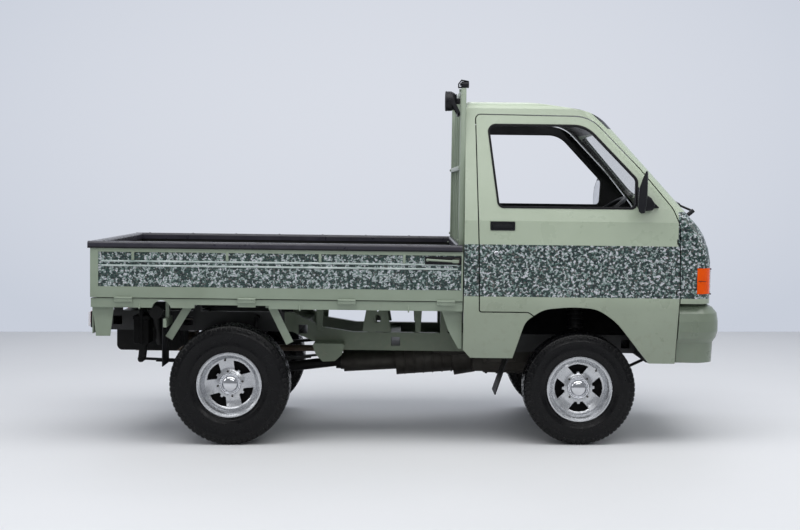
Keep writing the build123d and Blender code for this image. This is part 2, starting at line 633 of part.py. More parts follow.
# Chassis frame: two channel rails, kicked up over the rear axle
RAIL = [
    (RAIL_REAR_X, 546), (-619, 546), (-503, 497), (-329, 451), (RAIL_FRONT_X, 451), (RAIL_FRONT_X, RAIL_TOP_Z),
    (-288, RAIL_TOP_Z), (-454, 573), (-620, KICK_TOP_Z), (RAIL_REAR_X, KICK_TOP_Z),
]
RAIL_OUT = RAIL_Y + RAIL_WIDTH / 2
RAIL_IN = RAIL_Y - RAIL_WIDTH / 2
BEARER_BOTTOM_Z = 700.0
BED_POSTS = [(-1560, 645), (-1133, 645), (-703, 645), (-190, 540), (200, 540)]
CROSS_MEMBERS = [(-1560, 598), (-1180, 598), (-560, 560), (-60, 500), (1180, 500)]
HANGER = [(-504, 500), (-327, 500), (-345, 440), (-380, 408), (-445, 404), (-480, 440)]
REAR_HANGER = [(-1450, 600), (-1340, 600), (-1350, 556), (-1425, 556)]
SHACKLE_TOP = (-1387.0, 571.0)
with BuildPart() as chassis_frame:
    side_prism(RAIL, -RAIL_IN, -RAIL_OUT)
    side_prism(RAIL, -RAIL_IN + 1, -RAIL_OUT + RAIL_WALL, None, Mode.SUBTRACT, -RAIL_WALL)
    # spring hangers stand out from the rail and fork round the spring
    side_prism(HANGER, -RAIL_OUT + RAIL_WALL, -SPRING_Y - SPRING_WIDTH / 2 - 12, 12)
    block((-520, -SPRING_Y - SPRING_WIDTH / 2 - 5, 380), (-300, -SPRING_Y + SPRING_WIDTH / 2 + 5, 474),
          Mode.SUBTRACT)
    block((-1440, -SPRING_Y - 30, 596), (-1340, -RAIL_OUT + RAIL_WALL, 604))
    block((-1440, -RAIL_OUT - 8, 560), (-1340, -RAIL_OUT + RAIL_WALL, 604))
    rod((SHACKLE_TOP[0], -RAIL_OUT, SHACKLE_TOP[1]), (SHACKLE_TOP[0], -SPRING_Y - 40, SHACKLE_TOP[1]), 9)
    # spring eye bolt
    rod((SPRING_FRONT[0], -SPRING_Y + SPRING_WIDTH / 2 + 8, SPRING_FRONT[1]),
        (SPRING_FRONT[0], -SPRING_Y - SPRING_WIDTH / 2 - 16, SPRING_FRONT[1]), 8)
    both_sides()
    for x, z in CROSS_MEMBERS:
        block((x - 28, -RAIL_OUT + RAIL_WALL - 1, z - 28), (x + 28, RAIL_OUT - RAIL_WALL + 1, z + 28))
        block((x - 24, -RAIL_OUT - 1, z - 24), (x + 24, RAIL_OUT + 1, z + 24), Mode.SUBTRACT)
    # dropped member under the front axle line carries the lower arms
    block((FRONT_HUB_X - 28, -RAIL_OUT + 20, 222), (FRONT_HUB_X + 28, RAIL_OUT - 20, 250))
    for low, high in mirrored_spans(RAIL_OUT - 48, RAIL_OUT - 20):
        block((FRONT_HUB_X - 28, low, 222), (FRONT_HUB_X + 28, high, 455))
    # posts from the rails up to the bed's bearers
    for x, z in BED_POSTS:
        for low, high in mirrored_spans(RAIL_IN, RAIL_OUT):
            block((x - 20, low, z), (x + 20, high, BEARER_BOTTOM_Z - SEAT_GAP))
finish(chassis_frame, "chassis_frame")

# Engine and gearbox under the seats, and the drive line to the rear axle
with BuildPart() as power_unit:
    block((360, -220, 330), (850, 220, 690))
    fillet(power_unit.edges(), 14)
    for low, high in mirrored_spans(200, RAIL_IN - SEAT_GAP):
        block((560, low, 470), (640, high, 530))
    rod((365, 0, 420), (250, 0, 400), 120)
    rod((260, 0, 398), (-60, 0, 372), 92)
    rod((-50, 0, 372), (-350, 0, 353), 60)
    rod((-335, 0, 352), (-366, 0, 352), 46)
    block((-85, -40, 400), (-35, 40, 472 - SEAT_GAP))
finish(power_unit, "power_unit")

PROP_FRONT = Vector(-366 - SEAT_GAP, 0, 352)
PROP_REAR = Vector(REAR_HUB_X + 150 + SEAT_GAP, 0, HUB_Z + 4)
with BuildPart() as prop_shaft:
    rod(PROP_FRONT - Vector(14, 0, 0), PROP_REAR + Vector(14, 0, 0), 28)
    rod(PROP_FRONT - Vector(26, 0, 0), PROP_FRONT, 42)
    rod(PROP_REAR, PROP_REAR + Vector(26, 0, 0), 42)
finish(prop_shaft, "prop_shaft")

# Rear axle with its drums, stubs and spring seats
SPRING_LEAVES = 4
SPRING_TILT = 2.3
SPRING_STACK_LOW = SPRING_MID_Z - SPRING_LEAF * (SPRING_LEAVES - 0.5)
SPRING_STACK_HIGH = SPRING_MID_Z + SPRING_LEAF / 2
with BuildPart() as rear_axle:
    rod((REAR_HUB_X, -500, HUB_Z), (REAR_HUB_X, 500, HUB_Z), AXLE_R)
    with Locations((REAR_HUB_X, 0, HUB_Z)):
        Sphere(112)
    rod((REAR_HUB_X, 0, HUB_Z + 4), (REAR_HUB_X + 150, 0, HUB_Z + 4), 52)
    for side in (-1, 1):
        rod((REAR_HUB_X, side * 478, HUB_Z), (REAR_HUB_X, side * 575, HUB_Z), DRUM_R)
        rod((REAR_HUB_X, side * 560, HUB_Z), (REAR_HUB_X, side * STUB_TIP_Y, HUB_Z), STUB_R)
    for low, high in mirrored_spans(SPRING_Y - SPRING_WIDTH / 2, SPRING_Y + SPRING_WIDTH / 2):
        block((REAR_HUB_X - 50, low, HUB_Z), (REAR_HUB_X + 50, high, SPRING_STACK_LOW - SPRING_TILT))
        block((REAR_HUB_X - 55, low - 12, SPRING_STACK_HIGH + SPRING_TILT + 0.4),
              (REAR_HUB_X + 55, high + 12, SPRING_STACK_HIGH + 12))
        for x in (REAR_HUB_X - 42, REAR_HUB_X + 42):
            for y in (low - 6, high + 6):
                rod((x, y, HUB_Z - 46), (x, y, SPRING_STACK_HIGH + 16), 5)
        block((REAR_HUB_X - 55, low - 12, HUB_Z - 44), (REAR_HUB_X + 55, high + 12, HUB_Z - 30))
    for low, high in mirrored_spans(356, 384):
        block((REAR_HUB_X - 14, low, HUB_Z), (REAR_HUB_X + 70, high, HUB_Z + 22))
finish(rear_axle, "rear_axle")

with BuildPart() as rear_dampers:
    for side in (-1, 1):
        foot = Vector(REAR_HUB_X + 52, side * 370, HUB_Z + 22 + SEAT_GAP)
        head = Vector(REAR_HUB_X + 110, side * 370, 622)
        along = (head - foot).normalized()
        rod(foot + along * 12, foot + along * 170, 20)
        rod(foot + along * 160, head, 12)
        rod((head.X, side * (RAIL_OUT + SEAT_GAP), head.Z), (head.X, side * 388, head.Z), 14)
        block((foot.X - 14, foot.Y - 13, foot.Z), (foot.X + 18, foot.Y + 13, foot.Z + 26))
finish(rear_dampers, "rear_dampers")


def arc_level(x, depth):
    """Height on the spring's arc, a depth below its middle line, at x."""
    return arc_z - ((arc_r + depth) ** 2 - (x - arc_x) ** 2) ** 0.5


# Leaf springs: circle through both eyes and the axle seat
(eye_x, eye_z), (rear_x, rear_z) = SPRING_FRONT, SPRING_REAR
dx1, dz1 = REAR_HUB_X - eye_x, SPRING_MID_Z - eye_z
dx2, dz2 = rear_x - eye_x, rear_z - eye_z
cross = 2 * (dx1 * dz2 - dz1 * dx2)
arc_x = eye_x + (dz2 * (dx1**2 + dz1**2) - dz1 * (dx2**2 + dz2**2)) / cross
arc_z = eye_z + (dx1 * (dx2**2 + dz2**2) - dx2 * (dx1**2 + dz1**2)) / cross
arc_r = ((eye_x - arc_x) ** 2 + (eye_z - arc_z) ** 2) ** 0.5
LEAF_REACH = [(SPRING_REAR[0] + 4, SPRING_FRONT[0] - 4), (-1330, -508), (-1210, -620), (-1080, -750)]
with BuildPart() as leaf_springs:
    for k, (low, high) in enumerate(LEAF_REACH):
        top, bottom = (k - 0.5) * SPRING_LEAF, (k + 0.5) * SPRING_LEAF
        middle = (low + high) / 2
        with BuildSketch(Plane.XZ.offset(SPRING_Y - SPRING_WIDTH / 2)):
            with BuildLine():
                ThreePointArc((low, arc_level(low, top)), (middle, arc_level(middle, top)),
                              (high, arc_level(high, top)))
                Line((high, arc_level(high, top)), (high, arc_level(high, bottom)))
                ThreePointArc((high, arc_level(high, bottom)), (middle, arc_level(middle, bottom)),
                              (low, arc_level(low, bottom)))
                Line((low, arc_level(low, bottom)), (low, arc_level(low, top)))
            make_face()
        extrude(amount=SPRING_WIDTH)
    for x, z in (SPRING_FRONT, SPRING_REAR):
        rod((x, -SPRING_Y + SPRING_WIDTH / 2, z), (x, -SPRING_Y - SPRING_WIDTH / 2, z), SPRING_EYE_R)
    rod((SPRING_FRONT[0], -SPRING_Y + 40, SPRING_FRONT[1]), (SPRING_FRONT[0], -SPRING_Y - 40, SPRING_FRONT[1]),
        8.3, Mode.SUBTRACT)
    # rear shackle
    rod((SPRING_REAR[0], -SPRING_Y + 44, SPRING_REAR[1]), (SPRING_REAR[0], -SPRING_Y - 44, SPRING_REAR[1]), 9)
    lean = atan2(SHACKLE_TOP[0] - SPRING_REAR[0], SHACKLE_TOP[1] - SPRING_REAR[1])
    for y in (-SPRING_Y + SPRING_WIDTH / 2 + 2, -SPRING_Y - SPRING_WIDTH / 2 - 8):
        side_prism(
            [(SPRING_REAR[0] - 16, SPRING_REAR[1] - 16), (SHACKLE_TOP[0] - 16, SHACKLE_TOP[1] + 16),
             (SHACKLE_TOP[0] + 16, SHACKLE_TOP[1] + 16), (SPRING_REAR[0] + 16, SPRING_REAR[1] - 16)],
            y + 6, y, 12)
    rod((SHACKLE_TOP[0], -SPRING_Y + 60, SHACKLE_TOP[1]), (SHACKLE_TOP[0], -SPRING_Y - 60, SHACKLE_TOP[1]),
        9.3, Mode.SUBTRACT)
    both_sides()
finish(leaf_springs, "leaf_springs")

with BuildPart() as exhaust:
    rod((360 - SEAT_GAP, 200, 400), (-1205, 200, 400), 18)
    with BuildSketch(Plane.YZ.offset(-1540)):
        with Locations((168, 440)):
            RectangleRounded(175, 112, 40)
    extrude(amount=340)
    rod((-1530, 165, 415), (-1640, 165, 415), 18)
    block((-1544, 150, 470), (-1534, 180, 570 - SEAT_GAP))
finish(exhaust, "exhaust")

with BuildPart() as fuel_tank:
    block((-1575, -262, 430), (-1230, 40, TANK_TOP_Z))
    fillet(fuel_tank.edges().filter_by(Axis.Y), 30)
    rod((-1300, -255, 505), (-1300, -520, 505), 22)
    rod((-1300, -505, 500), (-1300, -618, 655), 22)
    rod((-1300, -606, 668), (-1300, -640, 668), 34)
finish(fuel_tank, "fuel_tank")

# Front suspension fixed to the body: lower arms, tension rods, strut tops and springs
kingpin = Vector(0, STRUT_TOP_Y - BALL_Y, STRUT_TOP_Z - BALL_Z)


def kingpin_y(z):
    """Distance of the steering axis from the middle line at a height."""
    return BALL_Y + kingpin.Y * (z - BALL_Z) / kingpin.Z


def strut_y(z):
    """Distance of the strut's middle line at a height: it meets the steering axis at its top."""
    return STRUT_TOP_Y + (STRUT_TOP_Z - z) * (STRUT_FOOT_Y - STRUT_TOP_Y) / (STRUT_TOP_Z - STRUT_FOOT_Z)


STRUT_FOOT_Y = 468.0
STRUT_FOOT_Z = 400.0
STRUT_SPLIT_Z = 560.0
with BuildPart() as front_suspension:
    cross_prism(
        [(-BALL_Y - 16, 184), (-BALL_Y - 16, BALL_Z), (-BALL_Y + 16, BALL_Z), (-RAIL_OUT + 20 - SEAT_GAP, 248),
         (-RAIL_OUT + 20 - SEAT_GAP, 224), (-BALL_Y + 10, 180)],
        FRONT_HUB_X - 24, FRONT_HUB_X + 24)
    rod((1290, -RAIL_OUT, 424), (FRONT_HUB_X + 14, -RAIL_OUT, 238), 8)
    block((1268, -RAIL_OUT - 22, 412), (1312, -RAIL_OUT + 22, CAB_BOTTOM_Z - SEAT_GAP))
    both_sides()
finish(front_suspension, "front_suspension")

with BuildPart() as front_struts:
    z_low, z_high = STRUT_SPLIT_Z + 8, PLATFORM_Z - PLATFORM_THICK - SEAT_GAP
    rod((FRONT_HUB_X, -strut_y(z_low), z_low), (FRONT_HUB_X, -strut_y(z_high - 12), z_high - 12), 12)
    for z in range(592, 712, 24):
        rod((FRONT_HUB_X, -strut_y(z), z), (FRONT_HUB_X, -strut_y(z + 11), z + 11), 44)
        rod((FRONT_HUB_X, -strut_y(z + 10), z + 10), (FRONT_HUB_X, -strut_y(z + 25), z + 25), 34)
    block((FRONT_HUB_X - 60, -460, z_high - 20), (FRONT_HUB_X + 60, -340, z_high))
    both_sides()
finish(front_struts, "front_struts")

# Steered knuckles: upright, hub stub, drum and lower strut tube
with BuildPart() as knuckle_right:
    cross_prism(
        [(-BALL_Y - 18, 228), (-BALL_Y + 16, 228), (-470, 400), (-450, 430), (-486, 430), (-530, 360),
         (-552, 340)],
        FRONT_HUB_X - 26, FRONT_HUB_X + 26)
    rod((FRONT_HUB_X, -kingpin_y(BALL_Z + SEAT_GAP), BALL_Z + SEAT_GAP + 3),
        (FRONT_HUB_X, -kingpin_y(240), 240), 11)
    rod((FRONT_HUB_X, -strut_y(405), 405), (FRONT_HUB_X, -strut_y(STRUT_SPLIT_Z), STRUT_SPLIT_Z), 21)
    rod((FRONT_HUB_X, -500, HUB_Z), (FRONT_HUB_X, -575, HUB_Z), 84)
    rod((FRONT_HUB_X, -560, HUB_Z), (FRONT_HUB_X, -STUB_TIP_Y, HUB_Z), STUB_R)
with BuildPart() as knuckle_left:
    mirror(knuckle_right.part, about=Plane.XZ)
finish(knuckle_right, "knuckle_right")
finish(knuckle_left, "knuckle_left")

# Wheels: profile in (radius, distance outboard of the tyre's middle), turned about the hub
TYRE_BEAD = RIM_BEAD_R + 0.3


def wheel_solid(profile, x, y):
    """A profile of (radius, outboard) points turned about a right-hand wheel's axle."""
    with BuildSketch(Plane.XY.offset(HUB_Z), mode=Mode.PRIVATE) as section:
        with BuildLine():
            Polyline(*[(x + r, y - w) for r, w in profile], close=True)
        make_face()
    revolve(section.sketch, axis=Axis((x, y, HUB_Z), (0, 1, 0)))


RIM_BARREL = [
    (152.7, -82), (169, -82), (169, -88), (148, -88), (145, -80), (145, 24), (66, 8), (STUB_R + 0.3, 8),
    (STUB_R + 0.3, 22), (60, 22), (140, 40), (144, 80), (148, 88), (169, 88), (169, 82), (152.7, 82),
]
RIM_CAP = [(0, 22), (38, 22), (38, 40), (30, 49), (14, 53), (0, 53)]
WINDOW_LOW_R = 78.0
WINDOW_HIGH_R = 124.0
WINDOW_SPREAD = 48.0
for name, hub_x, tyre_r, first_angle in (
    ("rear_right", REAR_HUB_X, REAR_TYRE_R, 66.0), ("front_right", FRONT_HUB_X, FRONT_TYRE_R, 5.0),
):
    with BuildPart() as rim:
        wheel_solid(RIM_BARREL, hub_x, -TYRE_CENTRE_Y)
        wheel_solid(RIM_CAP, hub_x, -TYRE_CENTRE_Y)
        with BuildSketch(Plane(origin=(hub_x, -TYRE_CENTRE_Y, HUB_Z), x_dir=(1, 0, 0), z_dir=(0, -1, 0))):
            half = radians(WINDOW_SPREAD / 2)
            with PolarLocations(0, 4, start_angle=first_angle):
                with BuildLine(mode=Mode.PRIVATE) as outline:
                    Polyline(
                        (WINDOW_LOW_R * cos(half), -WINDOW_LOW_R * sin(half)),
                        (WINDOW_HIGH_R * cos(half), -WINDOW_HIGH_R * sin(half)),
                        (WINDOW_HIGH_R, 0),
                        (WINDOW_HIGH_R * cos(half), WINDOW_HIGH_R * sin(half)),
                        (WINDOW_LOW_R * cos(half), WINDOW_LOW_R * sin(half)),
                        close=True,
                    )
                add(make_face(outline.line, mode=Mode.PRIVATE))
        extrude(amount=60, mode=Mode.SUBTRACT)
    with BuildPart() as tyre:
        wheel_solid(
            [(TYRE_BEAD, -80), (TYRE_BEAD, 80), (169.5, 81.5), (172, 88), (200, 96), (225, 98), (255, 96),
             (tyre_r - 20, 89), (tyre_r - 6, 84), (tyre_r, 74), (tyre_r, -74), (tyre_r - 6, -84),
             (tyre_r - 20, -89), (255, -96), (225, -98), (200, -96), (172, -88), (169.5, -81.5)],
            hub_x, -TYRE_CENTRE_Y)
    with BuildPart() as rim_mirror:
        mirror(rim.part, about=Plane.XZ)
    with BuildPart() as tyre_mirror:
        mirror(tyre.part, about=Plane.XZ)
    other = name.replace("right", "left")
    finish(rim, f"rim_{name}")
    finish(tyre, f"tyre_{name}")
    finish(rim_mirror, f"rim_{other}")
    finish(tyre_mirror, f"tyre_{other}")

# Mud flaps behind the front and the rear wheels
with BuildPart() as mudflaps:
    side_prism([(520.3, 520), (526, 520), (526, 452), (462, 262), (456, 264), (520.3, 454)], -430, -644)
    block((-1262, -680, 393), (-1257, -480, 640))
    both_sides()
finish(mudflaps, "mudflaps")

# Bed deck: floor, bearers, sills, front panel and rear apron
BEARERS = [x for x, z in BED_POSTS]
with BuildPart() as bed_deck:
    block((-1602, -BED_HALF - 2, BED_FLOOR_Z - 20), (256, BED_HALF + 2, BED_FLOOR_Z))
    for x in BEARERS:
        block((x - 30, -660, BEARER_BOTTOM_Z), (x + 30, 660, BED_FLOOR_Z - 19))
    for low, high in mirrored_spans(BED_HALF, SILL_HALF):
        block((-1627, low, SILL_BOTTOM_Z), (BED_FRONT_X, high, SILL_TOP_Z))
    block((-1627, -BED_HALF - 4, SILL_BOTTOM_Z), (-1600, BED_HALF + 4, SILL_TOP_Z))
    block((256, -BED_HALF, SILL_BOTTOM_Z), (BED_FRONT_X - 1, BED_HALF, GATE_TOP_Z))
    for low, high in mirrored_spans(650, SILL_HALF + 5):
        block((-1095, low, SILL_BOTTOM_Z - 10), (-712, high, 715), Mode.SUBTRACT)
        with BuildSketch(Plane.XZ.offset(-high)):
            with Locations((-1265, SILL_BOTTOM_Z - 12)):
                Circle(50)
        extrude(amount=high - low, mode=Mode.SUBTRACT)
    # side straps under the gates' lower edge
    for x in (-1458, -826, -312, 196):
        for low, high in mirrored_spans(SILL_HALF - 2, SILL_HALF + 4):
            block((x - 46, low, 706), (x + 46, high, 735))
    # mud guard stays and the bar that carries the rear mud flap
    for (x0, z0), (x1, z1) in (((-1133, 705), (-1236, 536)), ((-703, 705), (-608, 516))):
        length = ((x1 - x0) ** 2 + (z1 - z0) ** 2) ** 0.5
        across_x, across_z = -(z1 - z0) / length * 20, (x1 - x0) / length * 20
        side_prism([(x0 - across_x, z0 - across_z), (x1 - across_x, z1 - across_z),
                    (x1 + across_x, z1 + across_z), (x0 + across_x, z0 + across_z)], -615, -625)
        side_prism([(x0 - across_x, z0 - across_z), (x1 - across_x, z1 - across_z),
                    (x1 + across_x, z1 + across_z), (x0 + across_x, z0 + across_z)], 625, 615)
    for low, high in mirrored_spans(480, 680):
        block((-1257 + SEAT_GAP, low, 596), (-1240, high, 640))
    for low, high in mirrored_spans(560, 600):
        block((-1257 + SEAT_GAP, low, 630), (-1240, high, BED_FLOOR_Z - 18))
    for y_high in (643, -637):
        side_prism([(175, 700), (281, 700), (281, 501), (265, 500), (212, 594)], y_high, y_high - 6)
    for y_high in (660, -430):
        block((-1625, y_high - 230, 560), (-1619, y_high, 705))
    for y_high in (660, -656):
        side_prism([(-1627, 738), (-1606, 546), (-1533, 547), (-1513, 705)], y_high, y_high - 4)
finish(bed_deck, "bed_deck")

with BuildPart() as tail_lamps:
    for low, high in mirrored_spans(440, 650):
        block((-1651, low, 589), (-1625 - SEAT_GAP, high, 672))
    fillet(tail_lamps.edges().filter_by(Axis.X), 10)
finish(tail_lamps, "tail_lamps")

# Drop sides with their pressed recess, and the tail gate
GATE_RIBS = [-1410, -927, -451, -20]
GATE_PANEL_X = (-1588.0, 274.0)
GATE_PANEL_Z = (806.0, 984.0)
with BuildPart() as gate_right:
    block((BED_REAR_X, -HALF_WIDTH, GATE_BOTTOM_Z), (BED_FRONT_X, -HALF_WIDTH + GATE_THICK, GATE_TOP_Z))
    block((GATE_PANEL_X[0], -HALF_WIDTH - 5, GATE_PANEL_Z[0]),
          (GATE_PANEL_X[1], -HALF_WIDTH + 5, GATE_PANEL_Z[1]), Mode.SUBTRACT)
    for z in (914, 937):
        block((GATE_PANEL_X[0] + 20, -HALF_WIDTH + 1.5, z - 3), (GATE_PANEL_X[1] - 20, -HALF_WIDTH + 8, z + 3))
    for x in GATE_RIBS:
        block((x - 9, -HALF_WIDTH + 0.5, 945), (x + 9, -HALF_WIDTH + 8, GATE_PANEL_Z[1] + 2))
    block((GATE_PANEL_X[0], -HALF_WIDTH + GATE_THICK - 5, GATE_PANEL_Z[0]),
          (GATE_PANEL_X[1] - 30, -HALF_WIDTH + GATE_THICK + 5, GATE_PANEL_Z[1]), Mode.SUBTRACT)
with BuildPart() as gate_left:
    mirror(gate_right.part, about=Plane.XZ)
finish(gate_right, "gate_right")
finish(gate_left, "gate_left")

with BuildPart() as tailgate:
    block((BED_REAR_X, -BED_HALF, GATE_BOTTOM_Z), (BED_REAR_X + GATE_THICK, BED_HALF, GATE_TOP_Z))
    block((BED_REAR_X - 5, -BED_HALF + 40, GATE_PANEL_Z[0]), (BED_REAR_X + 5, BED_HALF - 40, GATE_PANEL_Z[1]),
          Mode.SUBTRACT)
    for z in (914, 937):
        block((BED_REAR_X + 1.5, -BED_HALF + 60, z - 3), (BED_REAR_X + 8, BED_HALF - 60, z + 3))
    # upper corners kept clear of the side rails' caps
    for low, high in mirrored_spans(BED_HALF - 16, BED_HALF + 10):
        block((BED_REAR_X - 10, low, GATE_TOP_Z - 8), (BED_REAR_X + GATE_THICK + 20, high, GATE_TOP_Z + 5), Mode.SUBTRACT)
finish(tailgate, "tailgate")

with BuildPart() as cap_right:
    block((CAP_REAR_X, -HALF_WIDTH - CAP_OVERHANG, GATE_TOP_Z + SEAT_GAP),
          (CAP_FRONT_X, -HALF_WIDTH + GATE_THICK + 17, CAP_TOP_Z))
    fillet(cap_right.edges().filter_by(Axis.X).group_by(Axis.Z)[-1], 14)
with BuildPart() as cap_left:
    mirror(cap_right.part, about=Plane.XZ)
finish(cap_right, "cap_right")
finish(cap_left, "cap_left")

with BuildPart() as cap_rear:
    block((CAP_REAR_X, -BED_HALF + 15, GATE_TOP_Z + SEAT_GAP), (BED_REAR_X + GATE_THICK + 6, BED_HALF - 15, CAP_TOP_Z))
    fillet(cap_rear.edges().filter_by(Axis.Y).group_by(Axis.Z)[-1], 12)
finish(cap_rear, "cap_rear")

with BuildPart() as cap_front:
    block((250, -599, GATE_TOP_Z + SEAT_GAP), (BED_FRONT_X + 3, 599, CAP_TOP_Z))
    fillet(cap_front.edges().filter_by(Axis.Y).group_by(Axis.Z)[-1], 10)
finish(cap_front, "cap_front")

# Guard frame behind the cab's rear window, and the work lamp on it
POST = [(226, GATE_TOP_Z + SEAT_GAP), (277, GATE_TOP_Z + SEAT_GAP), (283, 1844), (263, 1844)]
with BuildPart() as guard_frame:
    for low, high in mirrored_spans(605, 645):
        side_prism(POST, high, low)
    block((263, -640, 1820), (283, 640, 1844))
    block((256, -640, 1424), (274, 640, 1448))
    for y in (-360, -120, 120, 360):
        rod((270, y, CAP_TOP_Z + SEAT_GAP), (270, y, 1825), 6)
finish(guard_frame, "guard_frame")

with BuildPart() as work_lamp:
    rod((185, -590, 1778), (232, -590, 1778), 50)
    rod((228, -590, 1778), (244, -590, 1778), 34)
    block((232, -608, 1766), (259.4, -572, 1790))
    block((254, -644, 1766), (259.4, -572, 1790))
finish(work_lamp, "work_lamp")

for piece in finished:
    export_step(piece.part, f"parts/{piece.part.label}.step")
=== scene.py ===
"""Looks of the kei truck: camera, light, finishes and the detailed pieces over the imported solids.

Pieces are modelled in the truck's own level frame (+X forward, +Y left, +Z up, millimetres in the tables) and
turned by its small nose-down rake when they are finished, as the solids are.
"""

from math import asin, cos, exp, pi, radians, sin, tan

import bpy
from mathutils import Matrix, Vector


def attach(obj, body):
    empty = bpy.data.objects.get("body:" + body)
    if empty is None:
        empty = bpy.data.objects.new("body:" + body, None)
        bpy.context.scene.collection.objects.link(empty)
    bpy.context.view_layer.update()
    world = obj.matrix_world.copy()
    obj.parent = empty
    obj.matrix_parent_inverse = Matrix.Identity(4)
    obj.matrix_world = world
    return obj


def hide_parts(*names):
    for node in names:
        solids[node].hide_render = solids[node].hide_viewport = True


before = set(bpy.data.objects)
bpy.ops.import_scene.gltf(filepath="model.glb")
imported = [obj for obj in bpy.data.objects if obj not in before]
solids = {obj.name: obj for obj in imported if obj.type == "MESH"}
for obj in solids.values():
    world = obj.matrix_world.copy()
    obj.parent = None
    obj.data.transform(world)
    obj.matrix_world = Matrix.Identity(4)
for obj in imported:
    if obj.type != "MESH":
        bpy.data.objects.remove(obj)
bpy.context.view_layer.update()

# Sizes shared with the solids
REAR_HUB_X = -916.5
WHEELBASE = 1810.0
FRONT_HUB_X = REAR_HUB_X + WHEELBASE
REAR_TYRE_R = 312.0
FRONT_TYRE_R = 290.0
RAKE = asin((REAR_TYRE_R - FRONT_TYRE_R) / WHEELBASE)
HUB_Z = (REAR_TYRE_R + REAR_HUB_X * sin(RAKE)) / cos(RAKE)
TYRE_CENTRE_Y = 590.0
HALF_WIDTH = 697.5
stance = Matrix.Rotation(RAKE, 4, "Y")

# Camera and light

PICTURE_WIDTH = 800
FOCAL_PIXELS = 1443
CAMERA_DROP = 3.08
SENSOR_WIDTH = 36.0
camera_data = bpy.data.cameras.new("camera")
camera_data.sensor_width = SENSOR_WIDTH
camera_data.lens = FOCAL_PIXELS * SENSOR_WIDTH / PICTURE_WIDTH
camera = bpy.data.objects.new("camera", camera_data)
bpy.context.scene.collection.objects.link(camera)
camera.location = (-0.030, -8.078, 1.331)
camera.rotation_euler = (radians(90 - CAMERA_DROP), 0, 0)
bpy.context.scene.camera = camera
bpy.context.scene.view_settings.view_transform = "Standard"

# Name, place, aim, size, power
LAMPS = (
    ("ceiling_lamp", (0.2, -2.0, 5.4), (0, -0.3, 0.4), (8.0, 4.2), 300),
    ("front_lamp", (1.0, -8.5, 4.2), (0, 0, 0.8), (5.0, 1.8), 85),
    ("left_lamp", (-6.0, -3.0, 3.6), (0, 0, 0.8), (2.5, 2.5), 45),
    ("back_lamp", (0, 4.0, 4.6), (0, 0, 0.8), (6.0, 1.8), 60),
    ("nose_lamp", (6.0, -1.0, 3.4), (0, 0, 0.9), (2.5, 2.5), 45),
)
for name, place, aim, size, power in LAMPS:
    soft = bpy.data.lights.new(name, "AREA")
    soft.shape = "RECTANGLE"
    soft.size, soft.size_y = size
    soft.energy = power
    lamp = bpy.data.objects.new(name, soft)
    lamp.location = place
    lamp.rotation_euler = (Vector(aim) - Vector(place)).to_track_quat("-Z", "Y").to_euler()
    bpy.context.scene.collection.objects.link(lamp)

# The world lights the truck at one level and looks paler to the camera
SKY_LIGHT = 0.34
SKY_SEEN_MORE = 0.38
world = bpy.data.worlds.new("studio")
bpy.context.scene.world = world
world.use_nodes = True
sky = world.node_tree
sky.nodes["Background"].inputs["Color"].default_value = (0.80, 0.83, 0.88, 1)
seen = sky.nodes.new("ShaderNodeLightPath")
strength = sky.nodes.new("ShaderNodeMath")
strength.operation = "MULTIPLY_ADD"
sky.links.new(seen.outputs["Is Camera Ray"], strength.inputs[0])
strength.inputs[1].default_value = SKY_SEEN_MORE
strength.inputs[2].default_value = SKY_LIGHT
sky.links.new(strength.outputs[0], sky.nodes["Background"].inputs["Strength"])

# Finishes

BUMP_DEPTH = 0.0006
PAINT_TOP = 2.0
DIRECTIONS = {"height": (sin(RAKE), 0, cos(RAKE)), "length": (cos(RAKE), 0, -sin(RAKE))}


def linear(red, green, blue):
    """A colour as the eye names it, 0 to 255, as the shader wants it."""
    parts = []
    for level in (red, green, blue):
        share = level / 255
        parts.append(share / 12.92 if share <= 0.04045 else ((share + 0.055) / 1.055) ** 2.4)
    return (*parts, 1.0)


